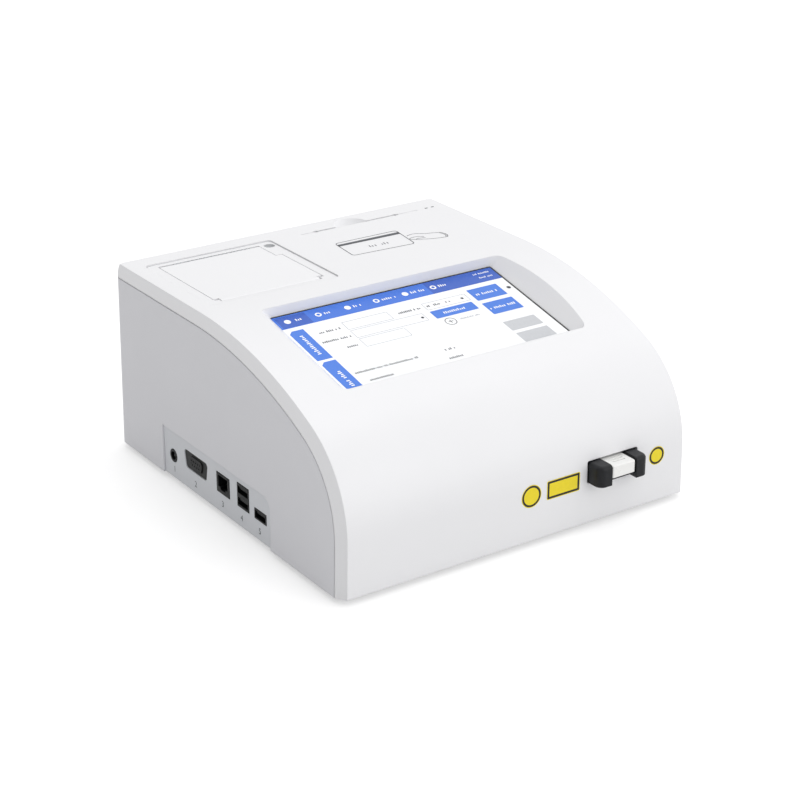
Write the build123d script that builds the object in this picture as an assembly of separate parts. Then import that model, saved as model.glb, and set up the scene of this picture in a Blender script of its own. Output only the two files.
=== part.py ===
from build123d import *
from math import cos, radians, sin, sqrt, tan
import os

# Bench-top fluorescence immunoassay analyzer, in millimetres.
# X runs to the right, Y to the rear, Z up. The origin is on the table, below the middle of the
# outline that the case and the extended tray make together.

# Case
WIDTH = 272.0            # left to right at the foot
DEPTH = 286.0            # front face to rear face
HEIGHT = 132.5           # table to flat top
GROUND_GAP = 4.0         # table to underside of the case
SIDE_DRAFT = 1.1         # degrees that each side leans in
WALL = 3.0
FRONT_RISE = 39.2        # table to the start of the shoulder curve
SHOULDER_R = 70.0
SHOULDER_TURN = 64.3     # degrees that the shoulder curve turns
BEVEL_IN = 4.6           # bevel along both sides, measured across the top
BEVEL_DOWN = 6.3         # the same bevel, measured down the side
REAR_CORNER_R = 9.0
RIM = 6.9                # band of the cover that frames each side panel
SEAM = 0.6               # visible joint between two mouldings
PANEL_RETURN = 14.0      # side panel's turn round the rear corner
LEDGE = 10.5             # depth of the ledge that a side panel seats on
LEDGE_THICK = 2.0
SEAT_GAP = 0.1           # between two mouldings that seat on each other

# Base
BASE_GAP = 0.3           # base to the walls round it
BASE_FLOOR = 3.0
BASE_RIM = 12.0
FOOT_R = 8.0
FOOT_POCKET = 1.2
FOOT_X = 112.0
FOOT_INSET = 28.0
POST_TOP = 30.0          # table to the joint of base post and cover lug
POST_R = 4.0
LUG_THICK = 6.0
LUG_REACH = 13.0
SCREW_R = 1.5
SCREW_HEAD_R = 2.9
SCREW_HEAD = 2.2
SCREW_CLEARANCE = 0.2

# Display
DISPLAY_TILT = 12.05     # degrees
VIEW_WIDTH = 176.0
VIEW_LENGTH = 99.5
VIEW_REAR_DEPTH = 156.2  # front face of the case to the rear edge of the view
VIEW_DROP = 7.4          # flat top to the rear edge of the glass
FLARE = 46.0             # degrees that the recess's side walls lean out
RECESS_CORNER_R = 10.0
RECESS_WALL = 3.0
GLASS_MARGIN = 3.0
GLASS_THICK = 1.8
LCD_MARGIN = 3.6
LCD_THICK = 5.0
BRACKET_THICK = 1.2
DISPLAY_POST_X = 97.0
DISPLAY_POST_R = 3.4
RIBBON_X = 0.0
RIBBON_WIDE = 24.0
RIBBON_THICK = 0.4

# Printer
PRINTER_X = -68.1
PRINTER_DEPTH = 180.0    # front face of the case to the printer's opening
PRINTER_WIDE = 98.6
PRINTER_LONG = 91.4
PRINTER_GAP = 0.5
PRINTER_DROP = 0.8       # flat top to the printer's face
FLANGE = 2.0
CORNER_R = 3.5
LID_WIDE = 82.6
LID_THICK = 2.2
LID_GAP = 0.45
LID_FRONT = 5.3          # printer's opening to the front of the lid
LID_REAR = 84.6
KNUCKLE_R = 2.6
HINGE_PIN_R = 1.5
RUNNING = 0.05           # radial clearance of a shaft in its bore
EAR_WIDE = 3.4
WELL_WALL = 1.8
WELL_DROP = 21.2         # printer's face to the floor of the well
ROLL_R = 18.0
ROLL_WIDE = 57.0
ROLL_BORE_R = 6.5
ROLL_SET_BACK = 32.0     # printer's opening to the roll's axis
ROLL_CLEAR = 0.6
PLATEN_R = 4.5
PLATEN_WIDE = 58.0
PLATEN_SET_BACK = 79.2
PLATEN_DROP = 7.2        # printer's face to the platen's axis
HEAD_GAP = 0.5
HEAD_TILE = 1.2
HEAD_SINK = 2.8
CHEEK = 2.4
BUTTON_R = 3.5
BUTTON_X = -24.5
BUTTON_SET_BACK = 82.3
BUTTON_DROP = 0.7        # printer's face to the button's face
BUTTON_GAP = 0.35
BUTTON_SLEEVE = 1.6
BUTTON_STEM_R = 1.2
BUTTON_STEM = 10.5       # printer's face to the lower end of the stem
STRIP_WIDE = 12.2        # frame beside the button, from the printer's right edge
STRIP_LONG = 29.0

# Card slot
SLOT_X = 51.7
SLOT_WIDE = 72.0
SLOT_GAP = 1.8
SLOT_DEPTH = 268.0       # front face of the case to the slot
SLOT_LINE_X = 55.0
SLOT_LINE = 100.0
SLOT_LINE_WIDE = 0.6
SCOOP_X = 47.5
SCOOP_R = 16.0
SCOOP_RISE = 9.0         # flat top to the centre of the scoop's ball
SCOOP_HALF = 16.0        # half of the width of the thick place under the scoop
CARD_WIDE = 55.0
CARD_DEEP = 34.0
READER_LONG = 12.0

# Test tray and its drive
TRAY_X = 71.4
TRAY_WIDE = 40.0
TRAY_REACH = 12.0        # how far the tray stands out of the front at rest
TRAY_BOTTOM = 32.5
TRAY_TOP = 46.5
TRAY_TRAVEL = 55.0
ARM_WIDE = 10.0
ARM_LONG = 32.0
ARM_CORNER_R = 5.0
ARM_EDGE_R = 2.6
TRAY_FLOOR_BOTTOM = 35.6
TRAY_FLOOR = 1.4
TRAY_CLEAR = 0.7         # slot round the tray
BED_LONG = 82.0
BED_WALL = 1.6
BED_RISE = 5.4
CASSETTE_WIDE = 19.0
CASSETTE_LONG = 76.0
CASSETTE_THICK = 8.3
CASSETTE_SHY = 0.6       # cassette's front behind the tray's
RAIL_DEPTH = 8.0         # front face of the case to the rail frame
RAIL_LONG = 126.0
RAIL_HALF = 28.0
RAIL_BOTTOM = 18.0
RAIL_PLATE = 2.0
RAIL_TOP = 50.0
AXIS_Z = 26.0            # table to the rods and the lead screw
ROD_R = 2.0
ROD_SPREAD = 19.0
LEAD_R = 3.0
JOURNAL_R = 2.0
BUSH_R = 3.2
BUSH_GAP = 0.05
CARRIAGE_DEPTH = 24.0
CARRIAGE_LONG = 30.0
CARRIAGE_HALF = 24.0
CARRIAGE_CLEAR = 0.6
NUT_R = 5.5
NUT_FLANGE_R = 8.5
MOTOR_SIDE = 35.0
MOTOR_LONG = 26.0

# Optics
OPTICS_DEPTH = 50.0
OPTICS_LONG = 54.0
OPTICS_TOP = 86.0
SAMPLE_DEPTH = 72.0      # front face of the case to the reading spot
SAMPLE_Z = 45.0
DETECT_R = 5.0
EXCITE_R = 4.0
OPTIC_FIT = 0.1
EXCITE_REACH = 42.4      # reading spot to the face that carries the light source
BOARD = 1.6

# Main board and ports
BOARD_TOP = 18.0
BOARD_LEFT = -130.5
BOARD_RIGHT = 30.0
BOARD_FRONT = 84.0
BOARD_REAR = 200.0
PORT_FRONT = 81.0        # front face of the case to the port recess
PORT_REAR = 221.0
PORT_TOP = 38.6
PORT_SINK = 1.5
PORT_PLATE = 2.0
PORT_GAP = 0.3
PORT_CORNER_R = 9.0
PORT_SEAT = 2.5
SOCKET_PROUD = 0.3
SOCKET_GAP = 0.3
NETWORK = (141.5, 16.2, 13.8)      # depth from the front, width and height of each socket
DUAL_USB = (116.0, 14.2, 16.4)
SINGLE_USB = (94.7, 14.2, 7.2)
SERIAL = (177.4, 31.2, 12.6)
POWER_DEPTH = 208.2
POWER_Z = 20.4
POWER_R = 4.6

# Switch on the rear
SWITCH_X = 88.0
SWITCH_Z = 52.0
SWITCH_WIDE = 13.4
SWITCH_TALL = 19.4
SWITCH_BEZEL = 1.2
SWITCH_LIP = 1.4
SWITCH_BODY = 14.0
SWITCH_WALL = 1.4
SWITCH_HOLLOW = 8.5
ROCKER_TILT = 9.0
ROCKER_GAP = 0.4
ROCKER_SINK = 2.8        # rear face of the case to the rocker's pivot

# Worked out from the sizes above
TURN = radians(SHOULDER_TURN)
CROWN_R = (HEIGHT - FRONT_RISE - SHOULDER_R * sin(TURN)) / (1 - sin(TURN))
FRONT_Y = (TRAY_REACH - DEPTH) / 2
REAR_Y = FRONT_Y + DEPTH
LEAN = tan(radians(SIDE_DRAFT))
FLOOR_TOP = GROUND_GAP + BASE_FLOOR
PRINTER_FACE = HEIGHT - PRINTER_DROP
CASSETTE_BOTTOM = TRAY_FLOOR_BOTTOM + TRAY_FLOOR
PORT_FACE = -WIDTH / 2 + PORT_SINK
BED_HALF = CASSETTE_WIDE / 2 + BED_WALL + TRAY_CLEAR
TRAY_FRONT = -TRAY_REACH
FAR = 400.0              # past the whole case, for cutting tools


def at_depth(depth):
    """Y of a point that lies behind the front face of the case."""
    return FRONT_Y + depth


def half_width(z):
    """Half of the case's width at a height."""
    return WIDTH / 2 - (z - GROUND_GAP) * LEAN


def block(x, depth, z):
    """Box between two values of X, two depths from the front face and two heights."""
    return Pos((x[0] + x[1]) / 2, at_depth((depth[0] + depth[1]) / 2), (z[0] + z[1]) / 2) * Box(
        x[1] - x[0], depth[1] - depth[0], z[1] - z[0])


def bar_x(radius, depth, z, x):
    """Round bar along X."""
    return Pos((x[0] + x[1]) / 2, at_depth(depth), z) * Rot(0, 90, 0) * Cylinder(radius, x[1] - x[0])


def bar_y(radius, x, z, depth):
    """Round bar along Y."""
    return Pos(x, at_depth((depth[0] + depth[1]) / 2), z) * Rot(90, 0, 0) * Cylinder(
        radius, depth[1] - depth[0])


def bar_z(radius, x, depth, z):
    """Upright round bar."""
    return Pos(x, at_depth(depth), (z[0] + z[1]) / 2) * Cylinder(radius, z[1] - z[0])


def upright(part, radius):
    """Round the upright edges of a part."""
    return fillet(part.edges().filter_by(Axis.Z), radius)


def mirrored(part):
    """The same piece for the other side of the case."""
    return mirror(part, about=Plane.YZ)


def side_outline(inset=0.0, bottom=GROUND_GAP, rear=REAR_Y):
    """Case from the side: upright front, shoulder arc, crown arc, flat top and upright rear."""
    shoulder = Vector(FRONT_Y + SHOULDER_R, FRONT_RISE)
    crown = shoulder + Vector(-cos(TURN), sin(TURN)) * (SHOULDER_R - CROWN_R)

    def on_arc(centre, radius, angle):
        return centre + Vector(-cos(angle), sin(angle)) * (radius - inset)

    quarter = radians(90)
    foot = Vector(FRONT_Y + inset, bottom)
    bend = on_arc(shoulder, SHOULDER_R, 0)
    joint = on_arc(shoulder, SHOULDER_R, TURN)
    flat = on_arc(crown, CROWN_R, quarter)
    edges = [
        Line(foot, bend),
        ThreePointArc(bend, on_arc(shoulder, SHOULDER_R, TURN / 2), joint),
        ThreePointArc(joint, on_arc(crown, CROWN_R, (TURN + quarter) / 2), flat),
        Line(flat, (rear, HEIGHT - inset)),
        Line((rear, HEIGHT - inset), (rear, bottom)),
        Line((rear, bottom), foot),
    ]
    return make_face(edges)


def side_slab(inset=0.0):
    """Everything between the two leaning sides, drawn in by inset."""
    low, high = -20.0, HEIGHT + 20.0
    corners = [(-half_width(low) + inset, low), (half_width(low) - inset, low),
               (half_width(high) - inset, high), (-half_width(high) + inset, high)]
    return extrude(Plane.XZ * make_face(Polyline(corners, close=True)), FAR, both=True)


def rounded_plan(inset=0.0):
    """Everything within the case's plan, with its rounded rear corners."""
    def plan(z):
        half = half_width(z) - inset
        front = FRONT_Y - 20.0
        face = Pos(0, (front + REAR_Y - inset) / 2, z) * Rectangle(2 * half, REAR_Y - inset - front)
        return fillet(face.vertices().group_by(Axis.Y)[-1], REAR_CORNER_R - inset)
    return loft([plan(-20.0), plan(HEIGHT + 20.0)], ruled=True)


def bevel_legs(inset):
    """Legs of the bevel on a body drawn in by inset, so that the wall stays even."""
    slant = sqrt(1 / BEVEL_IN ** 2 + 1 / BEVEL_DOWN ** 2)
    reach = 1 + inset * slant
    return (BEVEL_DOWN * (reach - inset / BEVEL_IN) - inset,
            BEVEL_IN * (reach - inset / BEVEL_DOWN) - inset)


def case_body(inset=0.0, bottom=GROUND_GAP):
    """The whole case as one solid, drawn in by inset."""
    rear = REAR_Y - inset
    body = extrude(Plane.YZ * side_outline(inset, bottom, rear), WIDTH, both=True) & side_slab(inset)
    down, across = bevel_legs(inset)
    for side in (-1, 1):
        face = body.faces().sort_by(Axis.X)[-1 if side > 0 else 0]
        edges = [e for e in face.edges()
                 if e.center().Y < rear - 0.1 and e.center().Z > bottom + 0.1]
        body = chamfer(edges, down, across, reference=face)
    return body & rounded_plan(inset)


def side_place(inset):
    """Space beside the case within the cover's rim, right-hand side."""
    face = side_outline(inset, bottom=-20.0, rear=REAR_Y + 20.0)
    return Pos(WIDTH / 2 - PANEL_RETURN, 0, 0) * extrude(Plane.YZ * face, 3 * PANEL_RETURN)


def case_shell():
    """Outer skin of the case before it is parted into cover and panels."""
    return case_body() - case_body(WALL, bottom=GROUND_GAP - 5.0)


def lug(x, depth, toward):
    """Screw lug on the inside of a wall. toward is the direction from the lug to its wall."""
    half = LUG_REACH / 2
    grown = half + WALL
    spans = {"front": ((-half, half), (-grown, half)), "rear": ((-half, half), (-half, grown)),
             "right": ((-half, grown), (-half, half))}
    (x0, x1), (d0, d1) = spans[toward]
    ear = block((x + x0, x + x1), (depth + d0, depth + d1), (POST_TOP, POST_TOP + LUG_THICK))
    return ear - bar_z(SCREW_R - 0.1, x, depth, (POST_TOP - 1, POST_TOP + LUG_THICK - 1))


FRONT_LUG = (108.0, WALL + LUG_REACH / 2 + 0.4)
REAR_LUG = (105.0, DEPTH - WALL - LUG_REACH / 2 - 0.4)
SIDE_LUG = (WIDTH / 2 - WALL - LUG_REACH / 2 - 1.0, 240.0)

DISPLAY_PLANE = Plane(
    origin=(0, at_depth(VIEW_REAR_DEPTH) - VIEW_LENGTH / 2 * cos(radians(DISPLAY_TILT)),
            HEIGHT - VIEW_DROP - VIEW_LENGTH / 2 * sin(radians(DISPLAY_TILT))),
    x_dir=(1, 0, 0),
    z_dir=(0, -sin(radians(DISPLAY_TILT)), cos(radians(DISPLAY_TILT))))


def recess_loft(margin, start=0.0):
    """Mouth of the display: flared sides, upright front and rear, corners that open upwards."""
    rise = 18.0
    spread = 2 * rise * tan(radians(FLARE))
    shift = rise * tan(radians(DISPLAY_TILT))
    low = fillet(Rectangle(VIEW_WIDTH + 2 * margin, VIEW_LENGTH + 2 * margin).vertices(), 1.2 + margin)
    high = fillet(Rectangle(VIEW_WIDTH + 2 * margin + spread, VIEW_LENGTH + 2 * margin).vertices(),
                  RECESS_CORNER_R + margin)
    body = loft([low, Pos(0, shift, rise) * high], ruled=True)
    if start < 0:
        body += extrude(Pos(0, 0, start) * low, -start + 0.01)
    return DISPLAY_PLANE * body


def display_layer(margin, top, thick, corner=2.0):
    """Flat rectangular layer of the display, top being its height above the glass."""
    face = Rectangle(VIEW_WIDTH + 2 * margin, VIEW_LENGTH + 2 * margin)
    return DISPLAY_PLANE * extrude(Pos(0, 0, top - thick) * fillet(face.vertices(), corner), thick)


def display_posts():
    """Places of the four posts beside the display, in its own plane."""
    return [(x, y) for x in (-DISPLAY_POST_X, DISPLAY_POST_X)
            for y in (-VIEW_LENGTH / 2 + 12, VIEW_LENGTH / 2 - 12)]


def printer_rect(margin, z, corner=CORNER_R):
    """Upright prism over the printer's opening, grown by margin."""
    body = block((PRINTER_X - PRINTER_WIDE / 2 - margin, PRINTER_X + PRINTER_WIDE / 2 + margin),
                 (PRINTER_DEPTH - margin, PRINTER_DEPTH + PRINTER_LONG + margin), z)
    return upright(body, corner)


WELL_X = (PRINTER_X - LID_WIDE / 2 - LID_GAP, PRINTER_X + LID_WIDE / 2 + LID_GAP)
WELL_DEPTH = (PRINTER_DEPTH + LID_FRONT - LID_GAP, PRINTER_DEPTH + 88.2)
WELL_FLOOR = PRINTER_FACE - WELL_DROP
ROLL_DEPTH = PRINTER_DEPTH + ROLL_SET_BACK
ROLL_Z = PRINTER_FACE - 24.0
HINGE_DEPTH = PRINTER_DEPTH + LID_FRONT + KNUCKLE_R
HINGE_Z = PRINTER_FACE - KNUCKLE_R
PLATEN_DEPTH = PRINTER_DEPTH + PLATEN_SET_BACK
PLATEN_Z = PRINTER_FACE - PLATEN_DROP


def well_outer(margin):
    """Box round the printer's well, grown by margin."""
    grown = WELL_WALL + margin
    return block((WELL_X[0] - grown, WELL_X[1] + grown), (WELL_DEPTH[0] - grown, WELL_DEPTH[1] + grown),
                 (WELL_FLOOR - WELL_WALL, PRINTER_FACE - FLANGE + 0.01))


def top_cover():
    """Front, shoulder and top in one moulding, with the places of display, printer and card."""
    cover = case_shell()
    right = side_place(RIM)
    cover -= right + mirrored(right)
    cover -= block((-WIDTH / 2 + PANEL_RETURN, WIDTH / 2 - PANEL_RETURN), (DEPTH - 8, DEPTH + 8),
                   (-20, HEIGHT - RIM))
    ring = extrude(Plane.YZ * side_outline(WALL - 0.3, rear=REAR_Y - 1.0), WIDTH, both=True)
    ring -= extrude(Plane.YZ * side_outline(LEDGE, bottom=-20.0, rear=REAR_Y + 20.0), WIDTH, both=True)
    ring &= side_slab(WALL + SEAT_GAP) - side_slab(WALL + SEAT_GAP + LEDGE_THICK)
    cover += ring & block((-WIDTH, WIDTH), (0, DEPTH - REAR_CORNER_R - 1),
                          (GROUND_GAP + BASE_RIM + BASE_GAP, HEIGHT))

    # Tub of the display and the posts that carry its bracket
    inside = extrude(Plane.YZ * side_outline(1.0), DISPLAY_POST_X + 10, both=True)
    cover += recess_loft(RECESS_WALL) & inside
    for x, y in display_posts():
        post = Pos(x, y, -GLASS_THICK - LCD_THICK) * Cylinder(
            DISPLAY_POST_R, 24.0, align=(Align.CENTER, Align.CENTER, Align.MIN))
        cover += (DISPLAY_PLANE * post) & inside
    cover -= recess_loft(0.0, start=-1.0)

    # Seat of the printer
    ledge_z = PRINTER_FACE - FLANGE
    cover += printer_rect(2.5, (ledge_z - 2.4, HEIGHT - 1.0))
    cover -= printer_rect(0.0, (ledge_z, HEIGHT + 1.0))
    seat = well_outer(PRINTER_GAP)
    cover -= Pos(0, 0, 5.0) * seat + seat
    cover -= bar_z(BUTTON_R + BUTTON_SLEEVE + PRINTER_GAP, BUTTON_X, PRINTER_DEPTH + BUTTON_SET_BACK,
                   (ledge_z - 10, ledge_z + 0.1))

    # Card slot, its fine end lines and the scoop behind it
    cover += block((SCOOP_X - SCOOP_HALF, SCOOP_X + SCOOP_HALF), (SLOT_DEPTH - 2, DEPTH - WALL - 0.2),
                   (HEIGHT - 9, HEIGHT - 1))
    ball = Pos(SCOOP_X, at_depth(SLOT_DEPTH), HEIGHT + SCOOP_RISE) * Sphere(SCOOP_R)
    cover -= ball & block((SCOOP_X - 40, SCOOP_X + 40), (SLOT_DEPTH, SLOT_DEPTH + 40), (0, HEIGHT + 40))
    cover -= block((SLOT_X - SLOT_WIDE / 2, SLOT_X + SLOT_WIDE / 2),
                   (SLOT_DEPTH - SLOT_GAP / 2, SLOT_DEPTH + SLOT_GAP / 2), (HEIGHT - 12, HEIGHT + 1))
    cover -= block((SLOT_LINE_X - SLOT_LINE / 2, SLOT_LINE_X + SLOT_LINE / 2),
                   (SLOT_DEPTH - SLOT_LINE_WIDE / 2, SLOT_DEPTH + SLOT_LINE_WIDE / 2),
                   (HEIGHT - 0.6, HEIGHT + 1))
    for x in (SLOT_X - SLOT_WIDE / 2 + 2, SLOT_X + SLOT_WIDE / 2 - 3):
        cover -= bar_z(1.7, x, SLOT_DEPTH, (HEIGHT - 12, HEIGHT + 1))

    # Mouth of the tray and the two front lugs
    cover -= upright_mouth()
    for x in (-FRONT_LUG[0], FRONT_LUG[0]):
        cover += lug(x, FRONT_LUG[1], "front")
    return cover


def upright_mouth():
    """Hole in the front wall that the tray runs through."""
    half = TRAY_WIDE / 2 + TRAY_CLEAR
    hole = block((TRAY_X - half, TRAY_X + half), (-1, WALL + 1),
                 (TRAY_BOTTOM - TRAY_CLEAR, TRAY_TOP + TRAY_CLEAR))
    return fillet(hole.edges().filter_by(Axis.Y), 1.4)


def right_side_panel():
    """Side panel that seats in the cover's rim and turns round the rear corner."""
    panel = case_shell() & side_place(RIM + SEAM)
    return panel + lug(SIDE_LUG[0], SIDE_LUG[1], "right")


def port_face(margin):
    """Outline of the port recess: open at the foot, large corner at the top front."""
    corners = [(at_depth(PORT_FRONT - margin), GROUND_GAP - 8), (at_depth(PORT_REAR + margin), GROUND_GAP - 8),
               (at_depth(PORT_REAR + margin), PORT_TOP + margin),
               (at_depth(PORT_FRONT - margin), PORT_TOP + margin)]
    face = make_face(Polyline(corners, close=True))
    front_top = face.vertices().group_by(Axis.Y)[-1].sort_by(Axis.X)[0]
    rear_top = face.vertices().group_by(Axis.Y)[-1].sort_by(Axis.X)[-1]
    face = fillet(front_top, PORT_CORNER_R + margin)
    return face


def port_prism(margin, x):
    """Port recess's outline carried from one X to another."""
    return Pos(x[0], 0, 0) * extrude(Plane.YZ * port_face(margin), x[1] - x[0])


def left_side_panel():
    """Left panel, with the window and the seat of the port plate."""
    panel = mirrored(case_shell() & side_place(RIM + SEAM))
    seat_x = PORT_FACE + PORT_PLATE
    seat = port_prism(3.0, (-WIDTH / 2 + 1.0, seat_x + 2.0)) & block(
        (-WIDTH, 0), (0, DEPTH), (GROUND_GAP + BASE_RIM, HEIGHT))
    panel += seat & case_body(0.5)
    panel -= port_prism(0.0, (-WIDTH, seat_x))
    panel -= port_prism(-PORT_SEAT, (-WIDTH, seat_x + 10))
    return panel + mirrored(lug(SIDE_LUG[0], SIDE_LUG[1], "right"))


def vent_slots(x, z, count, pitch, depth):
    """Row of upright slots with round ends through an upright wall."""
    cuts = []
    for k in range(count):
        centre = x + (k - (count - 1) / 2) * pitch
        slot = Pos(centre, (z[0] + z[1]) / 2) * SlotOverall(z[1] - z[0], 2.4, rotation=90)
        cuts.append(Pos(0, at_depth(depth[1]), 0) * extrude(Plane.XZ * slot, depth[1] - depth[0]))
    return cuts


def switch_block(grow, depth):
    """Block over the rear switch's cut-out, grown by a margin."""
    return block((SWITCH_X - SWITCH_WIDE / 2 - grow, SWITCH_X + SWITCH_WIDE / 2 + grow), depth,
                 (SWITCH_Z - SWITCH_TALL / 2 - grow, SWITCH_Z + SWITCH_TALL / 2 + grow))


def rear_panel():
    """Flat rear wall with air slots, the switch's cut-out and two lugs."""
    half = WIDTH / 2 - PANEL_RETURN - SEAM
    panel = block((-half, half), (DEPTH - WALL, DEPTH), (GROUND_GAP, HEIGHT - RIM - SEAM))
    for x in (-62.0, 0.0):
        for cut in vent_slots(x, (58.0, 84.0), 9, 5.6, (DEPTH - WALL - 1, DEPTH + 1)):
            panel -= cut
    panel -= switch_block(SOCKET_GAP, (DEPTH - WALL - 1, DEPTH + 1))
    panel -= switch_block(SWITCH_BEZEL + SOCKET_GAP, (DEPTH - SWITCH_LIP, DEPTH + 1))
    for x in (-REAR_LUG[0], REAR_LUG[0]):
        panel += lug(x, REAR_LUG[1], "rear")
    # Ribs that hook behind the cover's rear lip, on both sides of the scoop
    foot_z = HEIGHT - RIM - 6
    for x in ((-half + 14, SCOOP_X - SCOOP_HALF - 3), (SCOOP_X + SCOOP_HALF + 3, half - 14)):
        panel += block(x, (DEPTH - WALL - 2.3, DEPTH - WALL - 0.2), (foot_z, HEIGHT - RIM + 3.0))
        panel += block(x, (DEPTH - WALL - 0.3, DEPTH - WALL + 0.1), (foot_z, HEIGHT - RIM - SEAM - 0.1))
    return panel


def lug_places():
    """X and depth of each post of the base and of the screw in it."""
    places = []
    for x, depth in (FRONT_LUG, REAR_LUG, SIDE_LUG):
        places += [(-x, depth), (x, depth)]
    return places


def foot_places():
    """X and depth of the four feet."""
    return [(x, depth) for x in (-FOOT_X, FOOT_X) for depth in (FOOT_INSET, DEPTH - FOOT_INSET)]


BOARD_POSTS = [(x, depth) for x in (BOARD_LEFT + 14, -50.0, BOARD_RIGHT - 5)
               for depth in (BOARD_FRONT + 4, BOARD_REAR - 5)]
POWER_LEFT = -119.0
POWER_RIGHT = -52.0
POWER_FRONT = 222.0
POWER_REAR = 268.0
POWER_POSTS = [(x, depth) for x in (POWER_LEFT + 6, POWER_RIGHT - 5) for depth in (POWER_FRONT + 5, POWER_REAR - 5)]
RAIL_POSTS = [(TRAY_X + x, RAIL_DEPTH + depth) for x in (-12.0, 12.0) for depth in (14.0, RAIL_LONG - 14.0)]


def base_tray():
    """Bottom of the case: floor, low rim, posts, pockets of the feet and air slots."""
    tray = case_body(WALL + BASE_GAP) & block((-WIDTH, WIDTH), (-1, DEPTH), (0, GROUND_GAP + BASE_RIM))
    tray -= case_body(WALL + BASE_GAP + 2.2, bottom=GROUND_GAP - 5) & block(
        (-WIDTH, WIDTH), (-1, DEPTH), (FLOOR_TOP, HEIGHT))
    # Gap in the rim where the sockets and their plate stand
    tray -= block((-WIDTH, -WIDTH / 2 + 7.0), (PORT_FRONT - 4, PORT_REAR + 4), (FLOOR_TOP, HEIGHT))
    tray -= block((-WIDTH, PORT_FACE + PORT_PLATE + SEAT_GAP), (PORT_FRONT - 1, PORT_REAR + 1), (0, HEIGHT))
    for x, depth in lug_places():
        tray += bar_z(POST_R, x, depth, (FLOOR_TOP - 1, POST_TOP))
        tray -= bar_z(SCREW_R + SCREW_CLEARANCE, x, depth, (0, POST_TOP + 1))
        tray -= bar_z(SCREW_HEAD_R + SCREW_CLEARANCE, x, depth, (0, GROUND_GAP + SCREW_HEAD))
    for x, depth in BOARD_POSTS + POWER_POSTS:
        tray += bar_z(3.5, x, depth, (FLOOR_TOP - 1, BOARD_TOP - BOARD))
        tray -= bar_z(SCREW_R - 0.1, x, depth, (FLOOR_TOP, BOARD_TOP))
    for x, depth in RAIL_POSTS:
        tray += bar_z(4.5, x, depth, (FLOOR_TOP - 1, RAIL_BOTTOM))
        tray -= bar_z(SCREW_R - 0.1, x, depth, (FLOOR_TOP, RAIL_BOTTOM + 1))
    for x, depth in foot_places():
        tray -= bar_z(FOOT_R + 0.2, x, depth, (0, GROUND_GAP + FOOT_POCKET))
    for k in range(8):
        tray -= block((-60 + 12 * k, -57 + 12 * k), (40.0, 72.0), (0, 20))
    return tray


def rubber_feet():
    """Four round feet pressed into the pockets of the base."""
    feet = []
    for x, depth in foot_places():
        foot = bar_z(FOOT_R, x, depth, (0, GROUND_GAP + FOOT_POCKET))
        feet.append(chamfer(foot.edges().group_by(Axis.Z)[0], 1.2))
    return feet


def screw(radius, head_radius, head, length):
    """Pan-head screw that points up from the origin."""
    shank = Pos(0, 0, head) * Cylinder(radius, length, align=(Align.CENTER, Align.CENTER, Align.MIN))
    top = Cylinder(head_radius, head, align=(Align.CENTER, Align.CENTER, Align.MIN))
    return shank + top - Box(3.4, 0.8, 1.6) - Box(0.8, 3.4, 1.6)


def housing_screws():
    """Six long screws from below, through the posts into the lugs."""
    length = POST_TOP + LUG_THICK - 1.5 - GROUND_GAP - SCREW_HEAD
    one = screw(SCREW_R - 0.12, SCREW_HEAD_R, SCREW_HEAD - 0.2, length)
    return [Pos(x, at_depth(depth), GROUND_GAP + 0.2) * one for x, depth in lug_places()]


def board_screws():
    """Short screws that hold the two boards on their posts."""
    one = Rot(180, 0, 0) * screw(SCREW_R - 0.15, SCREW_HEAD_R - 0.2, 1.8, 8.0)
    return [Pos(x, at_depth(depth), BOARD_TOP + 1.8) * one for x, depth in BOARD_POSTS + POWER_POSTS]


def port_plate():
    """Sunk plate with a cut-out for each socket."""
    plate = port_prism(-PORT_GAP, (PORT_FACE, PORT_FACE + PORT_PLATE))
    plate -= block((-WIDTH, 0), (0, DEPTH), (-20, GROUND_GAP + 0.1))
    for depth, wide, tall in (NETWORK, DUAL_USB, SINGLE_USB):
        plate -= socket_cut(depth, wide, tall)
    plate -= serial_prism(0.3, (PORT_FACE - 1, PORT_FACE + PORT_PLATE + 1))
    plate -= bar_x(POWER_R + 0.2, POWER_DEPTH, POWER_Z, (PORT_FACE - 1, PORT_FACE + PORT_PLATE + 1))
    return plate


def socket_cut(depth, wide, tall):
    """Hole of one rectangular socket, which stands on the main board."""
    return block((PORT_FACE - 1, PORT_FACE + PORT_PLATE + 1),
                 (depth - wide / 2 - SOCKET_GAP, depth + wide / 2 + SOCKET_GAP),
                 (BOARD_TOP - SOCKET_GAP, BOARD_TOP + tall + SOCKET_GAP))


def socket_shell(depth, wide, tall, long):
    """Solid block of a board-mounted socket, its face just proud of the plate."""
    return block((PORT_FACE - SOCKET_PROUD, PORT_FACE - SOCKET_PROUD + long),
                 (depth - wide / 2, depth + wide / 2), (BOARD_TOP, BOARD_TOP + tall))


def network_jack():
    """Eight-way network jack: cavity, latch notch and contact comb."""
    depth, wide, tall = NETWORK
    face = PORT_FACE - SOCKET_PROUD
    jack = socket_shell(depth, wide, tall, 21.0)
    jack -= block((face - 1, face + 12.5), (depth - 5.9, depth + 5.9), (BOARD_TOP + 4.2, BOARD_TOP + 12.3))
    jack -= block((face - 1, face + 12.5), (depth - 3.2, depth + 3.2), (BOARD_TOP + 2.4, BOARD_TOP + 4.3))
    for k in range(8):
        centre = depth + (k - 3.5) * 1.02
        jack += block((face + 4.0, face + 12.6), (centre - 0.25, centre + 0.25),
                      (BOARD_TOP + 11.4, BOARD_TOP + 12.4))
    return jack


def usb_cavity(depth, bottom):
    """Mouth of one flat socket, without its tongue."""
    face = PORT_FACE - SOCKET_PROUD
    return block((face - 1, face + 9.5), (depth - 6.3, depth + 6.3), (bottom, bottom + 5.2))


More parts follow.
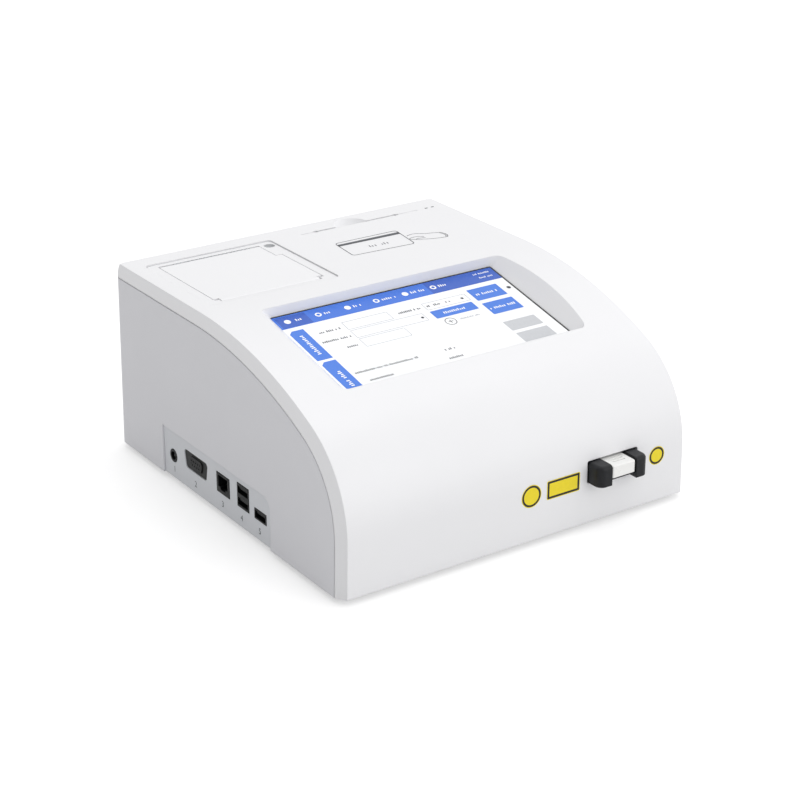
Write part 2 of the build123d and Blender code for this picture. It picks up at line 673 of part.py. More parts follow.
def usb_tongue(depth, bottom):
    """Tongue in the upper half of a flat socket."""
    face = PORT_FACE - SOCKET_PROUD
    return block((face + 1.0, face + 9.6), (depth - 5.6, depth + 5.6), (bottom + 2.9, bottom + 4.7))


def dual_usb_socket():
    """Two flat sockets in one upright shell."""
    depth, wide, tall = DUAL_USB
    shell = socket_shell(depth, wide, tall, 17.5)
    for bottom in (BOARD_TOP + 1.4, BOARD_TOP + 9.6):
        shell -= usb_cavity(depth, bottom)
        shell += usb_tongue(depth, bottom)
    return shell


def single_usb_socket():
    """One flat socket."""
    depth, wide, tall = SINGLE_USB
    shell = socket_shell(depth, wide, tall, 14.0) - usb_cavity(depth, BOARD_TOP + 1.0)
    return shell + usb_tongue(depth, BOARD_TOP + 1.0)


SERIAL_Z = BOARD_TOP + SERIAL[2] / 2 + 0.8


def serial_prism(grow, x, wide=None, tall=None):
    """D-shaped outline with slanted ends, carried from one X to another."""
    wide = (wide or SERIAL[1]) / 2 + grow
    tall = (tall or SERIAL[2]) / 2 + grow
    y = at_depth(SERIAL[0])
    slant = 2.4
    corners = [(y - wide + slant, SERIAL_Z - tall), (y + wide - slant, SERIAL_Z - tall),
               (y + wide, SERIAL_Z + tall), (y - wide, SERIAL_Z + tall)]
    face = make_face(Polyline(corners, close=True))
    face = fillet(face.vertices(), 2.6)
    return Pos(x[0], 0, 0) * extrude(Plane.YZ * face, x[1] - x[0])


def serial_connector():
    """Nine-way serial connector: flange, raised D-shaped nose and nine contact holes."""
    face = PORT_FACE - SOCKET_PROUD
    body = serial_prism(0.0, (face + 0.8, face + 3.6))
    body += serial_prism(0.0, (face, face + 3.0), 18.0, 8.6)
    body += block((face + 3.5, face + 12.0), (SERIAL[0] - 15.4, SERIAL[0] + 15.4),
                  (BOARD_TOP, SERIAL_Z + SERIAL[2] / 2))
    for row, count in ((1.42, 5), (-1.42, 4)):
        for k in range(count):
            depth = SERIAL[0] + (k - (count - 1) / 2) * 2.77
            body -= bar_x(0.6, depth, SERIAL_Z + row, (face - 1, face + 5))
    return body


def power_jack():
    """Round low-voltage inlet with its nut behind the plate."""
    face = PORT_FACE - SOCKET_PROUD
    jack = bar_x(POWER_R, POWER_DEPTH, POWER_Z, (face, face + 14.0))
    jack += bar_x(POWER_R + 1.8, POWER_DEPTH, POWER_Z, (PORT_FACE + PORT_PLATE, PORT_FACE + PORT_PLATE + 2.4))
    jack -= bar_x(POWER_R - 1.5, POWER_DEPTH, POWER_Z, (face - 1, face + 9.5))
    return jack + bar_x(1.0, POWER_DEPTH, POWER_Z, (face + 1.0, face + 10.0))


def board(x, depth, posts):
    """Printed circuit board with a hole at each of its posts."""
    plate = block(x, depth, (BOARD_TOP - BOARD, BOARD_TOP))
    for place in posts:
        plate -= bar_z(SCREW_R + SCREW_CLEARANCE, place[0], place[1], (0, HEIGHT))
    return plate


def main_board():
    """Main board, with its chips and headers."""
    plate = board((BOARD_LEFT, BOARD_RIGHT), (BOARD_FRONT, BOARD_REAR), BOARD_POSTS)
    for x, depth, wide, long, tall in ((-88, 150, 14, 14, 1.6), (-84, 112, 18, 10, 2.2), (0, 150, 12, 12, 1.4),
                                       (-4, 180, 26, 6, 8.0), (18, 120, 6, 22, 8.0), (-30, 96, 22, 6, 6.0)):
        plate += block((x - wide / 2, x + wide / 2), (depth - long / 2, depth + long / 2),
                       (BOARD_TOP - 0.2, BOARD_TOP + tall))
    for x, depth in ((-20, 116), (-8, 116), (4, 116)):
        plate += bar_z(4.0, x, depth, (BOARD_TOP - 0.2, BOARD_TOP + 11.0))
    return plate


def processor_heatsink():
    """Finned heat sink on the main processor."""
    x, depth, half = -48.0, 152.0, 15.0
    sink = block((x - half, x + half), (depth - half, depth + half), (BOARD_TOP, BOARD_TOP + 4.0))
    for k in range(7):
        fin = x - half + 1.0 + k * (2 * half - 2.0) / 6
        sink += block((fin - 0.8, fin + 0.8), (depth - half, depth + half), (BOARD_TOP + 3.9, BOARD_TOP + 13.0))
    return sink


def power_board():
    """Voltage converter board with a coil, capacitors and a cooling plate."""
    plate = board((POWER_LEFT, POWER_RIGHT), (POWER_FRONT, POWER_REAR), POWER_POSTS)
    plate += bar_z(8.0, -92.0, 246.0, (BOARD_TOP - 0.2, BOARD_TOP + 9.0))
    for depth in (236.0, 250.0):
        plate += bar_z(5.0, -70.0, depth, (BOARD_TOP - 0.2, BOARD_TOP + 16.0))
    return plate + block((-108.0, -104.0), (234.0, 258.0), (BOARD_TOP - 0.2, BOARD_TOP + 18.0))


def touch_glass():
    """Glass under the rim of the recess."""
    return display_layer(GLASS_MARGIN, 0.0, GLASS_THICK)


def lcd_module():
    """Flat display module behind the glass."""
    return display_layer(LCD_MARGIN, -GLASS_THICK, LCD_THICK)


def display_bracket():
    """Sheet-metal carrier, screwed to the four posts of the cover, with a window for the lead."""
    top = -GLASS_THICK - LCD_THICK
    plate = display_layer(LCD_MARGIN, top, BRACKET_THICK)
    for x, y in display_posts():
        reach = abs(x) - VIEW_WIDTH / 2 + 3.0
        centre = (abs(x) + VIEW_WIDTH / 2 - 3.0) / 2 * (1 if x > 0 else -1)
        ear = Pos(centre, y, top - BRACKET_THICK / 2) * Box(reach, 11.0, BRACKET_THICK)
        ear += Pos(x, y, top - BRACKET_THICK / 2) * Cylinder(5.5, BRACKET_THICK)
        plate += DISPLAY_PLANE * ear
        plate -= DISPLAY_PLANE * Pos(x, y, top - 2) * Cylinder(SCREW_R, 8.0)
    plate -= DISPLAY_PLANE * Pos(0, 22, top) * Box(30.0, 8.0, 6.0)
    for x in (-60, 60):
        plate -= DISPLAY_PLANE * Pos(x, 0, top) * Box(40.0, 50.0, 6.0)
    return plate


def display_screws():
    """Four screws under the ears of the bracket."""
    top = -GLASS_THICK - LCD_THICK - BRACKET_THICK
    return [DISPLAY_PLANE * Pos(x, y, top - 1.8) * Cylinder(
        2.6, 1.8, align=(Align.CENTER, Align.CENTER, Align.MIN)) for x, y in display_posts()]


def display_ribbon():
    """Flat flexible lead from the display, down behind the optics to the main board."""
    start = (DISPLAY_PLANE * Pos(0, 22, -GLASS_THICK - LCD_THICK)).position
    foot = (at_depth(180.0), BOARD_TOP + 8.0)
    route = FilletPolyline((start.Y, start.Z), (start.Y, start.Z - 14), (at_depth(150.0), 84.0),
                           (foot[0], 50.0), foot, radius=6.0)
    band = make_face(offset(route, RIBBON_THICK, side=Side.LEFT, closed=True))
    return Pos(RIBBON_X - RIBBON_WIDE / 2, 0, 0) * extrude(Plane.YZ * band, RIBBON_WIDE)


def printer_frame():
    """Printer's moulding: face, well, paper trough, hinge ears and the button's bore."""
    flange_z = (PRINTER_FACE - FLANGE, PRINTER_FACE)
    frame = printer_rect(-PRINTER_GAP, flange_z)
    frame += well_outer(0.0)
    trough = (PRINTER_X - ROLL_WIDE / 2 - ROLL_CLEAR, PRINTER_X + ROLL_WIDE / 2 + ROLL_CLEAR)
    outside = (trough[0] - WELL_WALL, trough[1] + WELL_WALL)
    frame += bar_x(ROLL_R + ROLL_CLEAR + WELL_WALL, ROLL_DEPTH, ROLL_Z, outside) & block(
        outside, (PRINTER_DEPTH, DEPTH), (0, WELL_FLOOR))
    # Hollow of the well, with the strip beside the button left standing
    lid_place = block(WELL_X, (WELL_DEPTH[0], PRINTER_DEPTH + LID_REAR + 1.7), (WELL_FLOOR, HEIGHT))
    under = block((WELL_X[0], WELL_X[1]), WELL_DEPTH, (WELL_FLOOR, PRINTER_FACE - FLANGE))
    right = PRINTER_X + PRINTER_WIDE / 2
    strip = block((right - STRIP_WIDE, right), (PRINTER_DEPTH + PRINTER_LONG - STRIP_LONG, DEPTH),
                  (PRINTER_FACE - FLANGE, HEIGHT))
    frame -= lid_place - strip
    frame -= under
    frame -= bar_x(ROLL_R + ROLL_CLEAR, ROLL_DEPTH, ROLL_Z, trough)
    # Ears of the hinge
    for side in (-1, 1):
        inner = PRINTER_X + side * (LID_WIDE / 2 - EAR_WIDE + LID_GAP)
        outer = PRINTER_X + side * (LID_WIDE / 2 + LID_GAP + 0.5)
        span = (min(inner, outer), max(inner, outer))
        ear = bar_x(KNUCKLE_R, HINGE_DEPTH, HINGE_Z, span)
        ear += block(span, (WELL_DEPTH[0] - 0.5, HINGE_DEPTH), (HINGE_Z - KNUCKLE_R, PRINTER_FACE))
        frame += ear
    frame -= bar_x(HINGE_PIN_R + 0.02, HINGE_DEPTH, HINGE_Z, (WELL_X[0], WELL_X[1]))
    # Guide of the release button
    depth = PRINTER_DEPTH + BUTTON_SET_BACK
    frame += bar_z(BUTTON_R + BUTTON_SLEEVE, BUTTON_X, depth, (PRINTER_FACE - 8.0, PRINTER_FACE - 1.0)) & block(
        (WELL_X[1] - 40, right - 0.6), (PRINTER_DEPTH, DEPTH), (0, HEIGHT))
    frame -= bar_z(BUTTON_R + BUTTON_GAP, BUTTON_X, depth, (PRINTER_FACE - 6.0, HEIGHT))
    frame -= bar_z(BUTTON_STEM_R + BUTTON_GAP, BUTTON_X, depth, (PRINTER_FACE - 14.0, HEIGHT))
    return frame


def printer_lid():
    """Hinged lid: plate, barrel on the hinge pin, two ribs and the cheeks of the platen."""
    half = LID_WIDE / 2
    front, rear = PRINTER_DEPTH + LID_FRONT, PRINTER_DEPTH + LID_REAR
    bottom = PRINTER_FACE - LID_THICK
    ear = EAR_WIDE + LID_GAP
    plate = block((PRINTER_X - half, PRINTER_X + half), (HINGE_DEPTH, rear), (bottom, PRINTER_FACE))
    for x in ((PRINTER_X - half - 1, PRINTER_X - half + ear), (PRINTER_X + half - ear, PRINTER_X + half + 1)):
        plate -= block(x, (front - 1, HINGE_DEPTH + KNUCKLE_R + LID_GAP), (0, HEIGHT))
    right = PRINTER_X + PRINTER_WIDE / 2
    plate -= block((right - STRIP_WIDE - LID_GAP, right),
                   (PRINTER_DEPTH + PRINTER_LONG - STRIP_LONG - LID_GAP, DEPTH), (0, HEIGHT))
    barrel = (PRINTER_X - half + ear, PRINTER_X + half - ear)
    plate += bar_x(KNUCKLE_R, HINGE_DEPTH, HINGE_Z, barrel)
    for x in (PRINTER_X - 20, PRINTER_X + 20):
        plate += block((x - 0.8, x + 0.8), (HINGE_DEPTH, PLATEN_DEPTH - 12), (bottom - 2.4, bottom + 0.1))
    inner = PLATEN_WIDE / 2 + 1.0
    for side in (-1, 1):
        x = sorted((PRINTER_X + side * inner, PRINTER_X + side * (inner + CHEEK)))
        cheek = bar_x(PLATEN_R - 0.4, PLATEN_DEPTH, PLATEN_Z, x)
        cheek += block(x, (PLATEN_DEPTH - 12, PLATEN_DEPTH + PLATEN_R - 0.4), (PLATEN_Z, bottom + 0.1))
        plate += cheek
    plate -= bar_x(HINGE_PIN_R + RUNNING, HINGE_DEPTH, HINGE_Z, (PRINTER_X - half - 1, PRINTER_X + half + 1))
    plate -= bar_x(HINGE_PIN_R + RUNNING, PLATEN_DEPTH, PLATEN_Z, (PRINTER_X - half, PRINTER_X + half))
    return plate


def lid_hinge_pin():
    """Steel pin through the ears of the frame and the lid's barrel."""
    return bar_x(HINGE_PIN_R, HINGE_DEPTH, HINGE_Z, (WELL_X[0] + 0.3, WELL_X[1] - 0.3))


def platen_roller():
    """Rubber feed roller on its steel shaft."""
    half = PLATEN_WIDE / 2
    shaft = half + 1.0 + CHEEK + 3.4
    roller = bar_x(PLATEN_R, PLATEN_DEPTH, PLATEN_Z, (PRINTER_X - half, PRINTER_X + half))
    return roller + bar_x(HINGE_PIN_R, PLATEN_DEPTH, PLATEN_Z, (PRINTER_X - shaft, PRINTER_X + shaft))


def platen_gear():
    """Small spur gear on the left end of the platen's shaft."""
    teeth, tip, root, wide = 16, PLATEN_R - 0.4, PLATEN_R - 1.4, 2.6
    x = PRINTER_X - PLATEN_WIDE / 2 - 1.0 - CHEEK - 0.4
    gear = Cylinder(root, wide)
    for k in range(teeth):
        gear += Rot(0, 0, 360 / teeth * k) * Pos(root + (tip - root) / 2 - 0.2, 0, 0) * Box(
            tip - root + 0.4, 0.8, wide)
    gear -= Cylinder(HINGE_PIN_R, wide + 1)
    return Pos(x - wide / 2, at_depth(PLATEN_DEPTH), PLATEN_Z) * Rot(0, 90, 0) * gear


def thermal_head():
    """Ceramic print head on its cooling plate, behind the platen."""
    face = PLATEN_DEPTH + PLATEN_R + HEAD_GAP
    x = (PRINTER_X - PLATEN_WIDE / 2 - 2, PRINTER_X + PLATEN_WIDE / 2 + 2)
    sink = block(x, (face + HEAD_TILE, face + HEAD_TILE + HEAD_SINK), (PLATEN_Z - 8, PLATEN_Z + 3.6))
    return sink + block((x[0] + 3, x[1] - 3), (face, face + HEAD_TILE + 0.1), (PLATEN_Z - 6, PLATEN_Z + 3.6))


def tear_bar():
    """Serrated steel strip at the paper outlet."""
    face = PRINTER_DEPTH + LID_REAR + 1.7
    bar = block((PRINTER_X - 30, PRINTER_X + 30), (face - 0.6, face), (PRINTER_FACE - FLANGE, PRINTER_FACE))
    for k in range(20):
        notch = Pos(PRINTER_X - 28.5 + 3 * k, at_depth(face), PRINTER_FACE) * Rot(0, 45, 0) * Box(1.1, 3, 1.1)
        bar -= notch
    return bar


def paper_roll():
    """Roll of thermal paper on its core."""
    span = (PRINTER_X - ROLL_WIDE / 2, PRINTER_X + ROLL_WIDE / 2)
    return bar_x(ROLL_R, ROLL_DEPTH, ROLL_Z, span) - bar_x(ROLL_BORE_R, ROLL_DEPTH, ROLL_Z, (span[0] - 1, span[1] + 1))


def printer_motor():
    """Feed motor on its plate, under the well."""
    floor = WELL_FLOOR - WELL_WALL
    x = PRINTER_X + 12.0
    motor = bar_x(9.0, 248.0, floor - 11.0, (x, x + 20))
    motor += block((x - 1.6, x + 0.1), (236.0, 260.0), (floor - 21.0, floor))
    return motor + bar_x(1.5, 248.0, floor - 11.0, (x - 7.0, x))


def release_button():
    """Round button with its stem."""
    depth = PRINTER_DEPTH + BUTTON_SET_BACK
    top = PRINTER_FACE - BUTTON_DROP
    cap = bar_z(BUTTON_R, BUTTON_X, depth, (top - 3.2, top))
    dish = Pos(BUTTON_X, at_depth(depth), top + 9.2) * Sphere(9.6)
    return cap - dish + bar_z(BUTTON_STEM_R, BUTTON_X, depth, (PRINTER_FACE - BUTTON_STEM, top - 3.0))


def card_guide():
    """Card channel under the slot, hung from the cover's roof."""
    top = HEIGHT - WALL
    half = CARD_WIDE / 2 + 3.0
    guide = block((SLOT_X - half, SLOT_X + half),
                  (SLOT_DEPTH - READER_LONG / 2, SLOT_DEPTH + READER_LONG / 2), (top - CARD_DEEP, top - 8.0))
    guide += block((SLOT_X - half - 6, SLOT_X + half + 6),
                   (SLOT_DEPTH - READER_LONG / 2, SLOT_DEPTH - SLOT_GAP / 2 - 1.4), (top - 10.0, top))
    guide -= block((SLOT_X - CARD_WIDE / 2, SLOT_X + CARD_WIDE / 2),
                   (SLOT_DEPTH - SLOT_GAP / 2, SLOT_DEPTH + SLOT_GAP / 2), (top - CARD_DEEP + 2, top))
    return guide


def card_reader_board():
    """Reader board on the rear of the card channel, with its contact block."""
    top = HEIGHT - WALL
    rear = SLOT_DEPTH + READER_LONG / 2
    plate = block((SLOT_X - 28, SLOT_X + 28), (rear, rear + BOARD), (top - CARD_DEEP, top - 10.0))
    return plate + block((SLOT_X - 10, SLOT_X + 10), (rear + BOARD - 0.1, rear + BOARD + 3.4),
                         (top - CARD_DEEP + 4, top - CARD_DEEP + 16))


def rounded_arm(side):
    """One finger of the tray, rounded at its outer front corner and along its top."""
    outer = TRAY_X + side * TRAY_WIDE / 2
    inner = TRAY_X + side * (TRAY_WIDE / 2 - ARM_WIDE)
    arm = block(sorted((outer, inner)), (TRAY_FRONT, TRAY_FRONT + ARM_LONG), (TRAY_BOTTOM, TRAY_TOP))
    corner = arm.edges().filter_by(Axis.Z).sort_by(Axis.Y)[:2].sort_by(Axis.X)[-1 if side > 0 else 0]
    arm = fillet(corner, ARM_CORNER_R)
    top = arm.faces().sort_by(Axis.Z)[-1]
    edges = [e for e in top.edges() if abs(e.center().X - inner) > 0.1 and e.center().Y < at_depth(TRAY_FRONT + ARM_LONG) - 0.1]
    return fillet(edges, ARM_EDGE_R)


def test_tray():
    """Carrier of the test cassette: two fingers, floor, bed walls and the block on the rods."""
    tray = rounded_arm(-1) + rounded_arm(1)
    floor_z = (TRAY_FLOOR_BOTTOM, CASSETTE_BOTTOM)
    tray += block((TRAY_X - TRAY_WIDE / 2 + 2, TRAY_X + TRAY_WIDE / 2 - 2),
                  (TRAY_FRONT + 1.5, TRAY_FRONT + ARM_LONG), floor_z)
    tray += block((TRAY_X - BED_HALF, TRAY_X + BED_HALF), (TRAY_FRONT + ARM_LONG - 1, TRAY_FRONT + BED_LONG), floor_z)
    for side in (-1, 1):
        x = sorted((TRAY_X + side * (BED_HALF - BED_WALL), TRAY_X + side * BED_HALF))
        tray += block(x, (TRAY_FRONT + ARM_LONG - 1, TRAY_FRONT + BED_LONG), (TRAY_FLOOR_BOTTOM, CASSETTE_BOTTOM + BED_RISE))
    tray += block((TRAY_X - BED_HALF, TRAY_X + BED_HALF),
                  (TRAY_FRONT + BED_LONG - BED_WALL, TRAY_FRONT + BED_LONG), (TRAY_FLOOR_BOTTOM, CASSETTE_BOTTOM + BED_RISE))
    # Flag of the end position
    tray += block((TRAY_X + BED_HALF - 0.5, TRAY_X + BED_HALF + 8), (60.0, 68.0),
                  (CASSETTE_BOTTOM + BED_RISE - 1.0, CASSETTE_BOTTOM + BED_RISE))
    carriage = block((TRAY_X - CARRIAGE_HALF, TRAY_X + CARRIAGE_HALF),
                     (CARRIAGE_DEPTH, CARRIAGE_DEPTH + CARRIAGE_LONG),
                     (RAIL_BOTTOM + RAIL_PLATE + CARRIAGE_CLEAR, TRAY_FLOOR_BOTTOM + 0.2))
    for side in (-1, 1):
        carriage -= bar_y(BUSH_R + 0.02, TRAY_X + side * ROD_SPREAD, AXIS_Z,
                          (CARRIAGE_DEPTH - 1, CARRIAGE_DEPTH + CARRIAGE_LONG + 1))
    carriage -= bar_y(NUT_R + 0.1, TRAY_X, AXIS_Z, (CARRIAGE_DEPTH - 1, CARRIAGE_DEPTH + CARRIAGE_LONG + 1))
    return tray + carriage


def carriage_bushes():
    """Two sleeve bushes that run on the guide rods."""
    bushes = []
    for side in (-1, 1):
        x = TRAY_X + side * ROD_SPREAD
        sleeve = bar_y(BUSH_R, x, AXIS_Z, (CARRIAGE_DEPTH, CARRIAGE_DEPTH + CARRIAGE_LONG))
        bushes.append(sleeve - bar_y(ROD_R + BUSH_GAP, x, AXIS_Z, (CARRIAGE_DEPTH - 1, CARRIAGE_DEPTH + CARRIAGE_LONG + 1)))
    return bushes


def lead_nut():
    """Flanged brass nut in the rear of the carriage."""
    end = CARRIAGE_DEPTH + CARRIAGE_LONG
    nut = bar_y(NUT_R, TRAY_X, AXIS_Z, (end - 14.0, end))
    nut += bar_y(NUT_FLANGE_R, TRAY_X, AXIS_Z, (end, end + 2.5)) & block(
        (TRAY_X - 12, TRAY_X + 12), (end, end + 3), (RAIL_BOTTOM + RAIL_PLATE + CARRIAGE_CLEAR, HEIGHT))
    return nut - bar_y(LEAD_R + RUNNING, TRAY_X, AXIS_Z, (end - 20, end + 5))


def test_cassette():
    """Test cassette: sample well, reading window and a ribbed front grip."""
    front = TRAY_FRONT + CASSETTE_SHY
    half = CASSETTE_WIDE / 2
    top = CASSETTE_BOTTOM + CASSETTE_THICK
    body = block((TRAY_X - half, TRAY_X + half), (front, front + CASSETTE_LONG), (CASSETTE_BOTTOM, top))
    body = fillet(body.edges().filter_by(Axis.Z), 1.6)
    body = chamfer(body.faces().sort_by(Axis.Z)[-1].edges(), 0.8)
    body -= block((TRAY_X - half - 1, TRAY_X + half + 1), (front + 22, front + CASSETTE_LONG + 1), (top - 2.2, top + 1))
    well = Pos(TRAY_X, at_depth(front + 38), top - 6.0) * extrude(SlotOverall(13.0, 7.0, rotation=90), 8.0)
    window = Pos(TRAY_X, at_depth(front + 60), top - 5.0) * extrude(SlotOverall(16.0, 5.0, rotation=90), 8.0)
    body -= well + window
    for k in range(3):
        body -= block((TRAY_X - 5, TRAY_X + 5), (front + 5 + 3 * k, front + 6.2 + 3 * k), (top - 0.6, top + 1))
    return body


def rail_frame():
    """Bent sheet-metal frame that holds the rods, the lead screw and the optics."""
    end = RAIL_DEPTH + RAIL_LONG
    x = (TRAY_X - RAIL_HALF, TRAY_X + RAIL_HALF)
    frame = block(x, (RAIL_DEPTH, end), (RAIL_BOTTOM, RAIL_BOTTOM + RAIL_PLATE))
    frame += block((x[0], x[0] + RAIL_PLATE), (RAIL_DEPTH, end), (RAIL_BOTTOM, RAIL_TOP))
    frame += block((x[1] - RAIL_PLATE, x[1]), (RAIL_DEPTH, end), (RAIL_BOTTOM, RAIL_TOP))
    frame += block(x, (RAIL_DEPTH, RAIL_DEPTH + RAIL_PLATE), (RAIL_BOTTOM, TRAY_BOTTOM - TRAY_CLEAR))
    frame += block(x, (end - RAIL_PLATE, end), (RAIL_BOTTOM, RAIL_TOP))
    for side in (-1, 1):
        frame -= bar_y(ROD_R + 0.02, TRAY_X + side * ROD_SPREAD, AXIS_Z, (0, DEPTH))
        # Lightening windows in the side plates
        for depth in (RAIL_DEPTH + 30, RAIL_DEPTH + 96):
            plate_x = TRAY_X + side * (RAIL_HALF - RAIL_PLATE / 2)
            frame -= block((plate_x - 3, plate_x + 3), (depth - 13, depth + 13), (28.0, 41.0))
    frame -= bar_y(JOURNAL_R + RUNNING, TRAY_X, AXIS_Z, (RAIL_DEPTH - 1, RAIL_DEPTH + RAIL_PLATE + 1))
    frame -= bar_y(JOURNAL_R + 1.0, TRAY_X, AXIS_Z, (end - RAIL_PLATE - 1, end + 1))
    for place in RAIL_POSTS:
        frame -= bar_z(SCREW_R + SCREW_CLEARANCE, place[0], place[1], (RAIL_BOTTOM - 1, RAIL_BOTTOM + RAIL_PLATE + 1))
    return frame


def guide_rods():
    """Two steel rods that the carriage runs on."""
    return [bar_y(ROD_R, TRAY_X + side * ROD_SPREAD, AXIS_Z, (RAIL_DEPTH, RAIL_DEPTH + RAIL_LONG - 0.3))
            for side in (-1, 1)]


def lead_screw():
    """Drive screw with a thin journal at each end and the motor's coupling."""
    end = RAIL_DEPTH + RAIL_LONG
    shaft = bar_y(LEAD_R, TRAY_X, AXIS_Z, (RAIL_DEPTH + RAIL_PLATE + 0.4, end - RAIL_PLATE - 0.4))
    shaft += bar_y(JOURNAL_R, TRAY_X, AXIS_Z, (RAIL_DEPTH - 1.0, RAIL_DEPTH + 4))
    return shaft + bar_y(JOURNAL_R, TRAY_X, AXIS_Z, (end - 6, end + 9))


def stepper_motor():
    """Square stepping motor behind the rail frame."""
    end = RAIL_DEPTH + RAIL_LONG
    half = MOTOR_SIDE / 2
    case = block((TRAY_X - half, TRAY_X + half), (end, end + MOTOR_LONG), (AXIS_Z - half, AXIS_Z + half))
    case = chamfer(case.edges().filter_by(Axis.Y), 3.5)
    return case - bar_y(JOURNAL_R + RUNNING, TRAY_X, AXIS_Z, (end - 1, end + 10))


def home_sensor():
    """Fork light barrier on the rear plate of the rail frame, round the path of the tray's flag."""
    end = RAIL_DEPTH + RAIL_LONG - RAIL_PLATE
    x = (TRAY_X + BED_HALF + 0.8, TRAY_X + BED_HALF + 10.8)
    body = block(x, (end - 6, end), (38.0, 47.0))
    for z in ((38.0, 40.0), (45.0, 47.0)):
        body += block(x, (end - 14, end - 5.9), z)
    return body


def optics_housing():
    """Light-tight block with an upright reading bore and a slanted lighting bore."""
    x = (TRAY_X - RAIL_HALF, TRAY_X + RAIL_HALF)
    end = OPTICS_DEPTH + OPTICS_LONG
    reach = EXCITE_REACH / sqrt(2)
    line = SAMPLE_DEPTH + reach + SAMPLE_Z + reach
    corners = [(at_depth(OPTICS_DEPTH), RAIL_TOP), (at_depth(end), RAIL_TOP), (at_depth(end), line - end),
               (at_depth(line - OPTICS_TOP), OPTICS_TOP), (at_depth(OPTICS_DEPTH), OPTICS_TOP)]
    face = make_face(Polyline(corners, close=True))
    body = Pos(x[0], 0, 0) * extrude(Plane.YZ * face, x[1] - x[0])
    body -= bar_z(DETECT_R + OPTIC_FIT, TRAY_X, SAMPLE_DEPTH, (0, HEIGHT))
    body -= on_beam(Cylinder(EXCITE_R + OPTIC_FIT, 80.0), 40.0)
    return body


def on_beam(part, reach):
    """Place a part on the slanted beam, reach away from the reading spot."""
    step = reach / sqrt(2)
    return Pos(TRAY_X, at_depth(SAMPLE_DEPTH + step), SAMPLE_Z + step) * Rot(-45, 0, 0) * part


def on_axis(part, z):
    """Place a part on the upright reading bore."""
    return Pos(TRAY_X, at_depth(SAMPLE_DEPTH), z) * part


def lens(radius, thick):
    """Plano-convex lens whose flat face is down."""
    ball = radius * 1.6
    low = sqrt(ball ** 2 - radius ** 2)
    cap = Pos(0, 0, thick * 0.4 - low) * Sphere(ball) & Pos(0, 0, thick) * Cylinder(radius, 2 * thick)
    return cap + Cylinder(radius, thick * 0.45, align=(Align.CENTER, Align.CENTER, Align.MIN))


def collecting_lens():
    """Lens of the reading bore."""
    return on_axis(lens(DETECT_R, 4.0), 62.0)


def emission_filter():
    """Coloured glass disc in the reading bore."""
    return on_axis(Cylinder(DETECT_R, 2.0), 74.0)


def excitation_lens():
    """Lens of the lighting bore."""
    return on_beam(lens(EXCITE_R, 3.2), 22.0)


def excitation_filter():
    """Coloured glass disc in the lighting bore."""
    return on_beam(Cylinder(EXCITE_R, 1.6), 30.0)


def light_source():
    """Light source in the lighting bore, on its small slanted board."""
    lamp = Cylinder(EXCITE_R - 0.2, 8.0, align=(Align.CENTER, Align.CENTER, Align.MAX))
    return on_beam(lamp + Pos(0, 0, BOARD / 2) * Box(24.0, 14.0, BOARD), EXCITE_REACH)


def detector_board():
    """Photodiode on its board, on top of the reading bore."""
    can = Pos(0, 0, -6) * Cylinder(DETECT_R - 0.3, 6.1, align=(Align.CENTER, Align.CENTER, Align.MIN))
    plate = Pos(0, 0, BOARD / 2) * Box(40.0, 32.0, BOARD)
    return on_axis(can + plate + Pos(12, 0, BOARD + 2) * Box(6, 12, 4.2), OPTICS_TOP)


def switch_housing():
    """Flush bezel and body of the rear switch, with the hollow that the rocker tilts in."""
    body = switch_block(0.0, (DEPTH - SWITCH_BODY, DEPTH))
    body += switch_block(SWITCH_BEZEL, (DEPTH - SWITCH_LIP, DEPTH))
    return body - switch_block(-SWITCH_WALL, (DEPTH - SWITCH_HOLLOW, DEPTH + 1))


def power_rocker():
    """Rocker of the rear switch, at rest with its upper half pressed."""
    half_x = SWITCH_WIDE / 2 - SWITCH_WALL - ROCKER_GAP
    half_z = SWITCH_TALL / 2 - SWITCH_WALL - ROCKER_GAP - 0.7
    corners = [(-3.6, -half_z + 1.4), (0.9, -half_z), (2.0, 0), (0.9, half_z), (-3.6, half_z - 1.4)]
    face = make_face(Polyline(corners, close=True))
    key = extrude(Plane.YZ * face, half_x, both=True)
    return Pos(SWITCH_X, REAR_Y - ROCKER_SINK, SWITCH_Z) * Rot(ROCKER_TILT, 0, 0) * key


